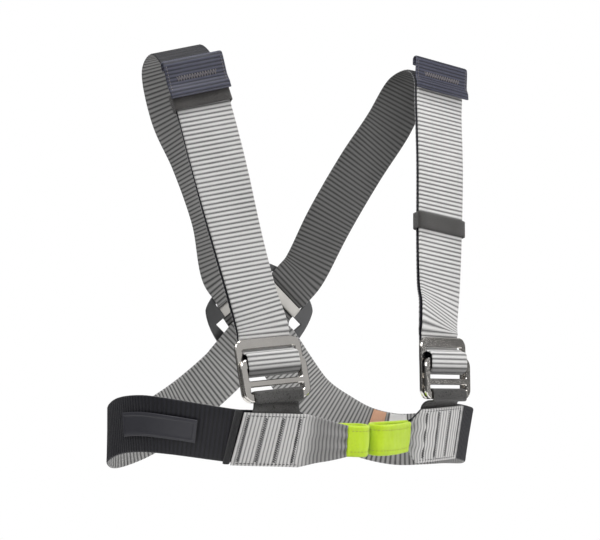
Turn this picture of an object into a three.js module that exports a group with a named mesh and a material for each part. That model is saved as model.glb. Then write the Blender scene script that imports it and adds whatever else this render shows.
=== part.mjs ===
// Climbing chest harness: two lengths of two-faced webbing. Each runs from a folded tail at the
// shoulder round a buckle, over the shoulder, through a cross-over plate on the back, round the
// other side as the chest band, and out and back through a tie-in loop into a stitched patch.
//
// Millimetres. +X is the wearer's left, +Y the wearer's back, +Z up. The origin lies between the
// shoulders, level with the undersides of the two straps, where the harness sits on its wearer.
import * as THREE from 'three';

// Webbing
const WEBBING_WIDTH = 45;
const WEBBING_THICKNESS = 2;
const CLEARANCE = 0.3;
const BEND_STEP = 18;

// The wearer's chest, measured to the middle of the webbing
const CHEST_FRONT = 100;
const CHEST_BACK = 70;
const CHEST_SQUARENESS = 2.8;
const BAND_DROP = 307;
const BAND_SLOPE = 0.035;

// Shoulder straps
const SHOULDER_SPREAD = 121;
// The tail lies on the strap, `TAIL_PITCH` over it behind the buckle and `TAIL_RISE` above that.
const TAIL_PITCH = 2.9;
const TAIL_RISE = 3.6;

// Cross-over plate. `PLATE_CROSSING` is how far below its middle the straps cross.
const PLATE_HALF_WIDTH = 52;
const PLATE_ABOVE = 42;
const PLATE_BELOW = 53;
const PLATE_ROUNDNESS = 1.5;
const PLATE_THICKNESS = 2.5;
const PLATE_DROP = 209;
const PLATE_BACK = 59;
const PLATE_TILT = 8;
const PLATE_CROSSING = 11;
const CROSSING_ANGLE = 40;
const SLOT_AT = 37.6;
const SLOT_WIDTH = 6.2;
const SLOT_PLAY = 0.4;
const LIGHT_BAR = 8.5;
const OPENING_FOOT = 27.4;

// Buckles: a tall frame and a shorter slider in front of it. Heights are from the buckle's middle.
const BUCKLE_DROP = 253;
const BUCKLE_WIDTH = 58;
const BUCKLE_PLATE = 3;
const BUCKLE_GAP = 1.5;
const BUCKLE_CORNER = 8;
const WINDOW_PLAY = 0.6;
const WINDOW_CORNER = 1;
const FRAME_TOP = 26.5;
const FRAME_TOP_BAR = 8;
const BUCKLE_FOOT = -23.5;
const FOOT_BAR = 6.5;
const SLIDER_TOP = 10.5;
const SLIDER_TOP_BAR = 7.5;
const CROSS_BAR_MIDDLE = -9.5;
const CROSS_BAR = 5;
const BUCKLE_BEVEL = 0.7;
const ANCHOR_THICKNESS = 1.8;
const ANCHOR_WIDTH = 42;
const ANCHOR_PLAY = 0.8;
const ANCHOR_TUCK = 20;

// Folded tail ends and keepers
const END_WIDTH = 51;
const END_FLAP = 27;
const END_BACK_FLAP = 4;
const END_LIP = 2.8;
const KEEPER_HEIGHT = 14;
const KEEPER_WALL = 1.2;
const KEEPER_PLAY = 0.8;

// Tie-in loops
const LOOP_HEIGHT = 25;
const LOOP_THICKNESS = 4.2;
const LOOP_EYE = 9.5;
const LOOP_TILT = -5;
const PLEATS = 3;
const PLEAT_DEPTH = 1.1;

// Small trim
const BADGE_HEIGHT = 19;
const BADGE_THICKNESS = 1.6;
const BINDING_WIDTH = 5;
const BINDING_THICKNESS = 3;
const LABEL_HEIGHT = 17;
const LABEL_THICKNESS = 1;
const LABEL_ASIDE = -13.5;

// What differs between the wearer's right and left. `half` is half the chest's width there,
// `tilt` tips the front of the band, `spread` and `forward` place the buckle, `turn`, `lean` and
// `slant` turn it outwards, back and in its own plane, `drift` moves the lower strap outwards and `sag` lowers the shoulder.
// `layer` is 1 for the strap that crosses further from the wearer.
// `parting` is where the tail leaves the strap, `free` the length that stands off it at
// `standOff` degrees, and `keeper` the keeper's drop.
const SIDES = [
  {
    name: 'right', side: -1, layer: 1, half: 160, tilt: -20, drift: 0, sag: 0,
    spread: 75.5, forward: 96.5, turn: 3, lean: 13, slant: 5,
    parting: 33, free: 24, standOff: 11, keeper: 39.5,
  },
  {
    name: 'left', side: 1, layer: 0, half: 150, tilt: -10, drift: 5.5, sag: 6,
    spread: 81, forward: 101, turn: 18, lean: 4, slant: 2,
    parting: 24, free: 26, standOff: 2, keeper: 135,
  },
];

// Front of the band: `tip` is the end of the tie-in loop, `seam` and `root` the ends of its front
// and back plies, and `near` and `far` those of the patch, measured across from the middle.
// `skew` is how far the patch's far edge slants.
const FRONTS = [
  { tip: 8, seam: -14, root: -39, near: -50, far: -101, skew: 6 },
  { tip: 8.6, seam: 48, root: 50, near: 58, far: 104, skew: 0 },
];
SIDES.forEach((one, index) => Object.assign(one, FRONTS[index]));

const LAYER_PITCH = WEBBING_THICKNESS + CLEARANCE;
const UP = new THREE.Vector3(0, 0, 1);
const radians = THREE.MathUtils.degToRad;
const harness = new THREE.Group();

const FINISHES = {
  grey: { color: 0xb4b4b2, roughness: 0.75 },
  navy: { color: 0x2b2c3a, roughness: 0.6 },
  dark: { color: 0x3c3a38, roughness: 0.8 },
  metal: { color: 0xcfcac4, roughness: 0.2, metalness: 1 },
  rim: { color: 0x424244, roughness: 0.5 },
  lime: { color: 0xcddc32, roughness: 0.7 },
  rubber: { color: 0x33333c, roughness: 0.55 },
  label: { color: 0xf0efec, roughness: 0.8 },
  orange: { color: 0xf0be91, roughness: 0.8 },
};

function addPiece(name, geometry, finish) {
  const mesh = new THREE.Mesh(geometry, new THREE.MeshStandardMaterial(FINISHES[finish]));
  mesh.name = name;
  harness.add(mesh);
  return mesh;
}

// A station is a point on the middle of a webbing and the way that its outer face looks. `skew`
// slants the webbing's end there, and `bow` bends its two edges back.
function station(point, face, width = WEBBING_WIDTH, { skew = 0, bow = 0 } = {}) {
  return { point, face: face.clone().normalize(), width, skew, bow };
}

// Joins rings of equally many points into a closed solid with flat ends.
function loft(points, ring) {
  const triangles = [];
  const lastRing = points.length - ring;
  for (let start = 0; start < lastRing; start += ring) {
    for (let index = 0; index < ring; index += 1) {
      const a = start + index;
      const b = start + ((index + 1) % ring);
      triangles.push(a, b + ring, b, a, a + ring, b + ring);
    }
  }
  for (let index = 0; index < ring / 2 - 1; index += 1) {
    const [a, b, c, d] = [index, index + 1, ring - 2 - index, ring - 1 - index];
    triangles.push(a, b, c, a, c, d);
    triangles.push(lastRing + a, lastRing + c, lastRing + b, lastRing + a, lastRing + d, lastRing + c);
  }
  const geometry = new THREE.BufferGeometry().setFromPoints(points);
  geometry.setIndex(triangles);
  return geometry;
}

// A sheet of webbing through the stations, `across` steps wide. `swell` raises a point of its
// middle surface, by how far over the width and how far along the webbing the point lies.
function webbing(stations, { thickness = WEBBING_THICKNESS, across = 1, swell = () => 0 } = {}) {
  const last = stations.length - 1;
  const points = [];
  stations.forEach(({ point, face, width, skew, bow }, index) => {
    const before = stations[Math.max(index - 1, 0)].point;
    const after = stations[Math.min(index + 1, last)].point;
    const along = after.clone().sub(before).normalize();
    const side = face.clone().cross(along).normalize();
    const out = along.clone().cross(side).normalize();
    for (const level of [thickness / 2, -thickness / 2]) {
      for (let step = 0; step <= across; step += 1) {
        const over = (level > 0 ? step : across - step) / across;
        const corner = point.clone().addScaledVector(side, (over - 0.5) * width);
        corner.addScaledVector(along, (over - 0.5) * skew);
        const height = level - bow * (2 * over - 1) ** 2 + swell(over, index / last);
        points.push(corner.addScaledVector(out, height));
      }
    }
  });
  return loft(points, 2 * (across + 1));
}

// A smooth run of stations through a few chosen ones.
function smooth(chosen, count) {
  const points = new THREE.CatmullRomCurve3(chosen.map(({ point }) => point), false, 'centripetal');
  const faces = new THREE.CatmullRomCurve3(chosen.map(({ face }) => face), false, 'centripetal');
  return Array.from({ length: count + 1 }, (_, index) => {
    const share = index / count;
    return station(points.getPoint(share), faces.getPoint(share));
  });
}

// The stations of a run up to the first height of -drop, with one placed just there.
function upTo(run, drop) {
  const past = run.findIndex(({ point }) => point.z > -drop);
  const [low, high] = [run[past - 1], run[past]];
  const share = (-drop - low.point.z) / (high.point.z - low.point.z);
  const last = station(low.point.clone().lerp(high.point, share), low.face.clone().lerp(high.face, share));
  return [...run.slice(0, past), last];
}

// Lifts stations off their faces by `height` and moves them across the webbing by `aside`.
function raised(stations, height, aside = 0) {
  return stations.map(({ point, face, width }, index) => {
    const before = stations[Math.max(index - 1, 0)].point;
    const after = stations[Math.min(index + 1, stations.length - 1)].point;
    const along = after.clone().sub(before).normalize();
    const side = face.clone().cross(along).normalize();
    const out = along.cross(side);
    return station(point.clone().addScaledVector(out, height).addScaledVector(side, aside), out, width);
  });
}

// Local axes of a flat piece: `across` and `upward` lie in its face, `outward` leaves the wearer.
function axes(origin, out, up) {
  const outward = out.clone().normalize();
  const across = up.clone().cross(outward).normalize();
  const upward = outward.clone().cross(across);
  const facing = (w, v, n) => across.clone().multiplyScalar(w)
    .addScaledVector(upward, v).addScaledVector(outward, n);
  const at = (w, v, n) => facing(w, v, n).add(origin);
  return { at, facing, matrix: new THREE.Matrix4().makeBasis(across, upward, outward).setPosition(origin) };
}

// Stations along a route of { v, n, radius } corners in the middle plane of some axes. The outer
// face lies to the right of the route as seen with `v` to the right and `n` up, or to the left of it.
function route(local, corners, { faceLeft = false, width = WEBBING_WIDTH } = {}) {
  const flat = corners.map(({ v, n }) => new THREE.Vector2(v, n));
  const hand = faceLeft ? 1 : -1;
  const stations = [];
  const add = (spot, along) => stations.push(
    station(local.at(0, spot.x, spot.y), local.facing(0, -hand * along.y, hand * along.x), width),
  );
  const heading = (index) => flat[index + 1].clone().sub(flat[index]).normalize();
  add(flat[0], heading(0));
  for (let index = 1; index < flat.length - 1; index += 1) {
    const before = heading(index - 1);
    const after = heading(index);
    const turning = Math.atan2(before.cross(after), before.dot(after));
    const { radius } = corners[index];
    const start = flat[index].clone().addScaledVector(before, -radius * Math.tan(Math.abs(turning) / 2));
    const inward = new THREE.Vector2(-before.y, before.x).multiplyScalar(Math.sign(turning));
    const centre = start.clone().addScaledVector(inward, radius);
    const steps = Math.max(2, Math.ceil(Math.abs(turning) / radians(BEND_STEP)));
    for (let step = 0; step <= steps; step += 1) {
      const spoke = start.clone().rotateAround(centre, (turning * step) / steps);
      add(spoke, before.clone().rotateAround(new THREE.Vector2(), (turning * step) / steps));
    }
  }
  add(flat[flat.length - 1], heading(flat.length - 2));
  return stations;
}

function sideOf(side) {
  return SIDES.find((one) => one.side === side);
}

// Chest band: `turn` runs from the front middle (0) round a side (90) to the back middle (180),
// and `rise` tips the outer face upwards.
function chestStation(side, turn, drop, rise, raise = 0, width = WEBBING_WIDTH) {
  const angle = radians(turn);
  const power = 2 / CHEST_SQUARENESS;
  const depth = turn < 90 ? CHEST_FRONT : CHEST_BACK;
  const beside = Math.abs(Math.sin(angle));
  const ahead = Math.abs(Math.cos(angle));
  const forward = -Math.sign(Math.cos(angle));
  const { half } = sideOf(side);
  const point = new THREE.Vector3(side * half * beside ** power, forward * depth * ahead ** power, -drop);
  const face = new THREE.Vector3(
    (side * beside ** (2 - power)) / half,
    (forward * ahead ** (2 - power)) / depth,
    0,
  ).normalize();
  face.multiplyScalar(Math.cos(radians(rise))).addScaledVector(UP, Math.sin(radians(rise)));
  return station(point.addScaledVector(face, raise), face, width);
}

function turnAt(side, reach) {
  const share = Math.abs(reach) / sideOf(side).half;
  return THREE.MathUtils.radToDeg(Math.asin(share ** (CHEST_SQUARENESS / 2)));
}

// A station on the front of the chest, `reach` across from its middle.
function frontStation(reach, raise = 0, width = WEBBING_WIDTH) {
  const side = Math.sign(reach) || 1;
  const drop = BAND_DROP - BAND_SLOPE * Math.abs(reach);
  const aside = THREE.MathUtils.smoothstep(Math.abs(reach), 10, 55);
  const tilt = THREE.MathUtils.lerp(LOOP_TILT, sideOf(side).tilt, aside);
  return chestStation(side, turnAt(side, reach), drop, tilt, raise, width);
}

// Shoulder strap. `wide` is a share of SHOULDER_SPREAD, `deep` of CHEST_FRONT in front and of
// PLATE_BACK behind, and `drop` of BUCKLE_DROP in front and of PLATE_DROP behind. `sweep` turns
// the outer face from the front (0) over the top (90) to the back (180) and `outward` to the
// side; `twist` turns both straps the same way, as they hang.
const FRONT_ROWS = [
  { wide: 0.7, deep: 0.8, drop: 0.775, sweep: 14, outward: 4.5, twist: 8.5 },
  { wide: 0.774, deep: 0.68, drop: 0.59, sweep: 14, outward: 3, twist: 3 },
  { wide: 0.866, deep: 0.526, drop: 0.33, sweep: 16, outward: 8, twist: -5 },
  { wide: 0.935, deep: 0.38, drop: 0.135, sweep: 20, outward: 8, twist: -5 },
  { wide: 0.985, deep: 0.28, drop: 0.03, sweep: 48, outward: 8, twist: -5 },
  { wide: 1.0, deep: 0.14, drop: -0.004, sweep: 88, outward: 9, twist: -4 },
];
const BACK_ROWS = [
  { wide: 0.97, deep: 0.18, drop: 0.043, sweep: 135, outward: 10, twist: 0 },
  { wide: 0.855, deep: 0.4, drop: 0.214, sweep: 160, outward: 10, twist: 0 },
  { wide: 0.669, deep: 0.5, drop: 0.39, sweep: 166, outward: 8, twist: 0 },
  { wide: 0.463, deep: 0.656, drop: 0.62, sweep: 167, outward: 6, twist: 0 },
];

function strapStation({ side, sag, drift }, row, depth, height) {
  const face = new THREE.Vector3(
    side * Math.tan(radians(row.outward + side * row.twist)),
    -Math.cos(radians(row.sweep)),
    Math.sin(radians(row.sweep)),
  );
  const z = -row.drop * height - sag * (1 - Math.max(row.drop, 0)) ** 2;
  const x = side * (row.wide * SHOULDER_SPREAD + (depth < 0 ? drift * row.drop : 0));
  return station(new THREE.Vector3(x, row.deep * depth, z), face);
}

function buckleAxes(side) {
  const one = sideOf(side);
  const [turn, lean, slant] = [one.turn, one.lean, one.slant].map(radians);
  const out = new THREE.Vector3(side * Math.sin(turn), -Math.cos(turn), 0);
  out.multiplyScalar(Math.cos(lean)).addScaledVector(UP, Math.sin(lean));
  const up = new THREE.Vector3(side * Math.sin(slant), 0, Math.cos(slant));
  return axes(new THREE.Vector3(side * one.spread, -one.forward, -BUCKLE_DROP), out, up);
}

// Cross-over plate. `w` points to the wearer's right here, because `outward` is to the back.
const plateTilt = radians(PLATE_TILT);
const plateAxes = axes(
  new THREE.Vector3(0, PLATE_BACK, -PLATE_DROP),
  new THREE.Vector3(0, Math.cos(plateTilt), Math.sin(plateTilt)),
  UP,
);

// A strap crosses the plate on a slanting line: `along` is measured up it from the crossing, with
// the shoulder of this `side` at its upper end. `n` is the height over the plate's middle.
function crossingStation(side, along, n) {
  const angle = radians(CROSSING_ANGLE);
  const point = plateAxes.at(-side * along * Math.sin(angle), along * Math.cos(angle) - PLATE_CROSSING, n);
  return station(point, plateAxes.facing(0, 0, 1));
}

// Heights of the webbing as it weaves through the plate. A strap goes in at the slot, passes
// behind the light bar and comes out through the opening; `layer` 1 is the one further back.
const nearPlate = PLATE_THICKNESS / 2 + WEBBING_THICKNESS / 2 + CLEARANCE;
function weaveHeight(layer, along) {
  const behind = nearPlate + layer * LAYER_PITCH;
  const before = -nearPlate - (1 - layer) * LAYER_PITCH;
  const { smoothstep } = THREE.MathUtils;
  const slotFoot = SLOT_AT - SLOT_WIDTH / 2;
  const goesIn = 1 - smoothstep(along, slotFoot - layer * 3, slotFoot + SLOT_WIDTH + 0.4);
  const comesOut = layer === 1
    ? 1 - smoothstep(along, -OPENING_FOOT - 0.4, -18)
    : 1 - smoothstep(along, 13, 23);
  return -nearPlate + (behind + nearPlate) * goesIn + (before - behind) * comesOut;
}

function crossingRun(side, layer, from, to, step = 1.7) {
  const count = Math.ceil(Math.abs(to - from) / step);
  return Array.from({ length: count + 1 }, (_, index) => {
    const along = from + ((to - from) * index) / count;
    return crossingStation(side, along, weaveHeight(layer, along));
  });
}

// Roll of webbing round the slider's top bar, and the heights of the layers behind the buckle
const sliderFront = 2 * BUCKLE_PLATE + BUCKLE_GAP;
const rollFront = sliderFront + CLEARANCE + WEBBING_THICKNESS / 2;
const tailBehind = -CLEARANCE - WEBBING_THICKNESS / 2 - 0.2;
const mainBehind = tailBehind - TAIL_PITCH;
const rollRadius = (rollFront - mainBehind) / 2;
const rollFoot = SLIDER_TOP - SLIDER_TOP_BAR + 1 - rollRadius;
const rollMiddle = (rollFront + mainBehind) / 2;
const rollHead = SLIDER_TOP + CLEARANCE + WEBBING_THICKNESS + 0.5;
const tailPass = FRAME_TOP - FRAME_TOP_BAR - 1.5;

function strapPath(one) {
  const { side } = one;
  const local = buckleAxes(side);
  const wrap = route(local, [
    { v: rollFoot, n: rollMiddle - CLEARANCE },
    { v: rollFoot, n: mainBehind, radius: rollRadius - 2 * CLEARANCE },
    { v: FRAME_TOP + 1, n: mainBehind },
  ], { faceLeft: true });
  const chosen = [
    wrap[wrap.length - 1],
    station(local.at(0, FRAME_TOP + 9, mainBehind), local.facing(0, 0, 1)),
    ...FRONT_ROWS.map((row) => strapStation(one, row, -CHEST_FRONT, BUCKLE_DROP)),
    ...BACK_ROWS.map((row) => strapStation(one, row, PLATE_BACK, PLATE_DROP)),
    crossingStation(side, 60, -nearPlate),
    crossingStation(side, 47, -nearPlate),
  ];
  return { wrap, run: smooth(chosen, 76) };
}

function addShoulderStrap({ name, side, layer }, { wrap, run }) {
  const stations = [...wrap, ...run.slice(1), ...crossingRun(side, layer, 44.5, CLEARANCE / 2)];
  addPiece(`shoulder_strap_${name}`, webbing(stations), 'grey');
}

// The tail lies on the strap up to where the strap bends back over the shoulder, and then
// stands straight off it.
function tailPath({ side, parting, free, standOff }, { run }) {
  const local = buckleAxes(side);
  const wrap = route(local, [
    { v: rollFoot, n: rollMiddle + CLEARANCE },
    { v: rollFoot, n: rollFront, radius: rollRadius - 2 * CLEARANCE },
    { v: rollHead, n: rollFront, radius: 3.8 },
    { v: tailPass, n: tailBehind, radius: 1 },
    { v: FRAME_TOP + 1, n: tailBehind },
  ], { faceLeft: true });
  const exit = wrap[wrap.length - 1].point.z + 4;
  const lying = raised(upTo(run, parting), TAIL_RISE).filter(({ point }) => point.z > exit);
  const end = lying[lying.length - 1];
  const before = lying[lying.length - 2];
  const beside = end.face.clone().cross(end.point.clone().sub(before.point)).normalize();
  const along = end.point.clone().sub(before.point).normalize().applyAxisAngle(beside, -radians(standOff));
  const face = along.clone().cross(beside).normalize();
  const standing = [0.35, 0.7, 1].map((share) => (
    station(end.point.clone().addScaledVector(along, free * share), face)));
  return { stations: [...wrap, ...lying, ...standing], along, face };
}

function addTail({ name }, tail) {
  addPiece(`tail_${name}`, webbing(tail.stations), 'grey');
  const tip = tail.stations[tail.stations.length - 1].point;
  const local = axes(tip, tail.face, tail.along);
  const fold = LAYER_PITCH;
  const stations = route(local, [
    { v: -END_FLAP, n: fold + END_LIP },
    { v: -END_FLAP * 0.82, n: fold + END_LIP * 0.9, radius: 5 },
    { v: -END_FLAP * 0.62, n: fold, radius: 6 },
    { v: CLEARANCE + fold, n: fold, radius: fold - 0.05 },
    { v: CLEARANCE + fold, n: -fold, radius: fold - 0.05 },
    { v: -END_BACK_FLAP, n: -fold },
  ], { width: END_WIDTH, faceLeft: true });
  addPiece(`tail_end_${name}`, webbing(stations), 'navy');
}

// An elastic band round the tail and the strap, `keeper` below the shoulder.
function addKeeper({ name, keeper }, { run }) {
  const { point, face } = upTo(run, keeper).pop();
  const above = upTo(run, keeper - KEEPER_HEIGHT / 2).pop();
  const below = upTo(run, keeper + KEEPER_HEIGHT / 2).pop();
  const along = above.point.clone().sub(below.point);
  const middle = point.clone().addScaledVector(face, TAIL_RISE / 2);
  const local = axes(middle, face, along);
  const innerHalf = TAIL_RISE / 2 + WEBBING_THICKNESS / 2 + KEEPER_PLAY;
  const innerWidth = WEBBING_WIDTH + 2 * KEEPER_PLAY;
  const outerHalf = innerHalf + KEEPER_WALL;
  const outerWidth = innerWidth + 2 * KEEPER_WALL;
  const outline = roundedRectangle(new THREE.Shape(), outerWidth, -outerHalf, outerHalf, 1.8);
  outline.holes.push(roundedRectangle(new THREE.Path(), innerWidth, -innerHalf, innerHalf, 0.6));
  const geometry = new THREE.ExtrudeGeometry(outline, {
    depth: KEEPER_HEIGHT,
    bevelEnabled: false,
    curveSegments: 3,
  });
  geometry.translate(0, 0, -KEEPER_HEIGHT / 2);
  geometry.rotateX(Math.PI / 2);
  geometry.applyMatrix4(local.matrix);
  addPiece(`keeper_${name}`, geometry, 'dark');
}

function roundedRectangle(path, width, bottom, top, radius) {
  const inner = width / 2 - radius;
  path.moveTo(-inner, bottom);
  path.absarc(inner, bottom + radius, radius, -Math.PI / 2, 0);
  path.absarc(inner, top - radius, radius, 0, Math.PI / 2);
  path.absarc(-inner, top - radius, radius, Math.PI / 2, Math.PI);
  path.absarc(-inner, bottom + radius, radius, Math.PI, 1.5 * Math.PI);
  return path;
}

function addBucklePlate(name, side, level, top, windows) {
  const shape = roundedRectangle(new THREE.Shape(), BUCKLE_WIDTH, BUCKLE_FOOT, top, BUCKLE_CORNER);
  const width = WEBBING_WIDTH + 2 * WINDOW_PLAY;
  for (const [low, high] of windows) {
    shape.holes.push(roundedRectangle(new THREE.Path(), width, low, high, WINDOW_CORNER));
  }
  const geometry = new THREE.ExtrudeGeometry(shape, {
    depth: BUCKLE_PLATE - 2 * BUCKLE_BEVEL,
    bevelThickness: BUCKLE_BEVEL,
    bevelSize: BUCKLE_BEVEL,
    bevelOffset: -BUCKLE_BEVEL,
    bevelSegments: 1,
    curveSegments: 4,
  });
  geometry.translate(0, 0, level + BUCKLE_BEVEL);
  geometry.applyMatrix4(buckleAxes(side).matrix);
  addPiece(name, geometry, 'metal');
}

function addBuckle({ name, side }) {
  const footTop = BUCKLE_FOOT + FOOT_BAR;
  addBucklePlate(`buckle_frame_${name}`, side, 0, FRAME_TOP, [[footTop, FRAME_TOP - FRAME_TOP_BAR]]);
  const [low, high] = [CROSS_BAR_MIDDLE - CROSS_BAR / 2, CROSS_BAR_MIDDLE + CROSS_BAR / 2];
  const level = BUCKLE_PLATE + BUCKLE_GAP;
  const windows = [[footTop, low], [high, SLIDER_TOP - SLIDER_TOP_BAR]];
  addBucklePlate(`buckle_slider_${name}`, side, level, SLIDER_TOP, windows);
}

// Layers at the front, from the band outwards: the end of the anchor tab, then the patch.
const anchorRaise = WEBBING_THICKNESS / 2 + ANCHOR_PLAY + ANCHOR_THICKNESS / 2;
const patchRaise = anchorRaise + ANCHOR_THICKNESS / 2 + ANCHOR_PLAY + WEBBING_THICKNESS / 2;

// A tab that holds the buckle: round the foot bars of its two plates and down under the patch.
function addAnchor({ name, side, spread, slant }) {
  const local = buckleAxes(side);
  const footTop = BUCKLE_FOOT + FOOT_BAR;
  const half = ANCHOR_THICKNESS / 2;
  const crown = footTop + CLEARANCE + half;
  const rear = -CLEARANCE - half;
  const front = sliderFront + CLEARANCE + half;
  const under = BUCKLE_FOOT - CLEARANCE - half;
  const round = route(local, [
    { v: BUCKLE_FOOT + 1, n: rear },
    { v: crown, n: rear, radius: 2.2 },
    { v: crown, n: front, radius: 2.2 },
    { v: under, n: front, radius: 1.6 },
    { v: under, n: 2 },
  ], { width: ANCHOR_WIDTH });
  const foot = spread + BUCKLE_FOOT * Math.sin(radians(slant));
  const base = frontStation(side * foot);
  const ends = [-1, 1].map((end) => frontStation(side * foot + (end * ANCHOR_WIDTH) / 2).point);
  const chord = ends[1].clone().sub(ends[0]).normalize();
  const out = base.face.clone().projectOnPlane(chord).normalize();
  const stack = axes(base.point, out, out.clone().cross(chord));
  const bow = base.point.clone().sub(ends[0]).dot(out);
  const top = WEBBING_WIDTH / 2;
  const leg = [top + 0.5, top - 2.5, top - ANCHOR_TUCK].map((v) => (
    station(stack.at(0, v, anchorRaise), stack.facing(0, 0, 1), ANCHOR_WIDTH, { bow })));
  const tab = webbing([...round, ...leg], { thickness: ANCHOR_THICKNESS, across: 4 });
  addPiece(`buckle_anchor_${name}`, tab, 'dark');
}

// Side leg and chest band. `right` and `left` are the drops on each side, as shares of BAND_DROP.
const BAND_ROWS = [
  { turn: 164, right: 0.935, left: 0.935, rise: 3 },
  { turn: 153, right: 0.985, left: 0.99, rise: 0 },
  { turn: 142, right: 1.015, left: 1.025, rise: 0 },
  { turn: 124, right: 1.03, left: 1.045, rise: 0 },
  { turn: 105, right: 1.008, left: 1.04, rise: 0 },
  { turn: 90, right: 0.98, left: 1.03, rise: 0 },
  { turn: 76, right: 0.965, left: 1.02, rise: -4 },
  { turn: 62, right: 0.967, left: 1.008, rise: -10 },
];
const BAND_FRONT = 96;

// The strap from the other shoulder comes down to this side, so the crossing is counted from there.
function bandPath({ name, side, root }, layer) {
  const chosen = [
    crossingStation(-side, -46, -nearPlate - (1 - layer) * LAYER_PITCH),
    crossingStation(-side, -53, -nearPlate - (1 - layer) * LAYER_PITCH),
    ...BAND_ROWS.map((row) => chestStation(side, row.turn, row[name] * BAND_DROP, row.rise)),
    frontStation(side * (BAND_FRONT + 6)),
    frontStation(side * BAND_FRONT),
  ];
  const count = 12;
  const front = Array.from({ length: count }, (_, index) => {
    const reach = side * BAND_FRONT + ((root - side * BAND_FRONT) * (index + 1)) / count;
    const spread = THREE.MathUtils.smoothstep(Math.abs(reach - root), 0, 16);
    return frontStation(reach, 0, THREE.MathUtils.lerp(LOOP_HEIGHT, WEBBING_WIDTH, spread));
  });
  return [...crossingRun(-side, layer, -CLEARANCE / 2, -45), ...smooth(chosen, 70), ...front];
}

function addBand(one, stations) {
  addPiece(`chest_band_${one.name}`, webbing(stations), 'navy');
}

// Height of a loop's front ply over the band, at `reach` across the front.
const turnRadius = (LOOP_THICKNESS + LOOP_EYE) / 2;
const seatedPly = LOOP_THICKNESS + CLEARANCE;
function plyRaise(reach, root, tipMiddle) {
  const share = THREE.MathUtils.clamp((reach - root) / (tipMiddle - root), 0, 1);
  return seatedPly + (2 * turnRadius - seatedPly) * Math.sin(share * Math.PI / 2) ** 1.2;
}

function loopMiddle(tip, towards) {
  return tip - towards * (turnRadius + LOOP_THICKNESS / 2);
}

function addTieLoop({ name, side, tip, seam, root }) {
  const towards = -side;
  const middle = loopMiddle(tip, towards);
  const steps = 7;
  const start = root + towards * CLEARANCE;
  const stations = [];
  for (let index = 0; index <= steps; index += 1) {
    stations.push(frontStation(start + ((middle - start) * index) / steps, 0, LOOP_HEIGHT));
  }
  const hub = frontStation(middle, turnRadius);
  const ahead = UP.clone().cross(hub.face).multiplyScalar(-towards).normalize();
  if (ahead.x * towards < 0) ahead.negate();
  for (let angle = BEND_STEP; angle < 180; angle += BEND_STEP) {
    const face = hub.face.clone().multiplyScalar(-Math.cos(radians(angle)));
    face.addScaledVector(ahead, Math.sin(radians(angle)));
    const spoke = face.clone().multiplyScalar(turnRadius);
    stations.push(station(hub.point.clone().add(spoke), face.negate(), LOOP_HEIGHT));
  }
  for (let index = 0; index <= steps; index += 1) {
    const reach = middle + ((seam - middle) * index) / steps;
    const ply = frontStation(reach, plyRaise(reach, root, middle), LOOP_HEIGHT);
    stations.push(station(ply.point, ply.face.negate(), LOOP_HEIGHT));
  }
  addPiece(`tie_in_loop_${name}`, webbing(stations, { thickness: LOOP_THICKNESS }), 'lime');
}

// The webbing's folded-back end: pleats that open out from the loop into the stitched patch.
function addPatch({ name, side, tip, seam, root, near, far, skew }) {
  const towards = -side;
  const middle = loopMiddle(tip, towards);
  const start = seam - towards * CLEARANCE;
  const gather = Array.from({ length: 9 }, (_, index) => {
    const share = index / 9;
    const reach = start + (near - start) * share;
    const eased = THREE.MathUtils.smoothstep(share, 0, 1);
    const raise = plyRaise(reach, root, middle);
    const height = Math.max(raise + (patchRaise - raise) * eased, raise);
    return frontStation(reach, height, LOOP_HEIGHT + (WEBBING_WIDTH - LOOP_HEIGHT) * share);
  });
  const flat = Array.from({ length: 7 }, (_, index) => {
    const share = index / 6;
    return { ...frontStation(near + (far - near) * share, patchRaise), skew: skew * share };
  });
  const share = 9 / 15;
  const swell = (over, along) => {
    const gathered = Math.max(0, 1 - along / share);
    return PLEAT_DEPTH * gathered * Math.cos(2 * Math.PI * PLEATS * over);
  };
  addPiece(`front_patch_${name}`, webbing([...gather, ...flat], { across: 12, swell }), 'grey');
}

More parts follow.
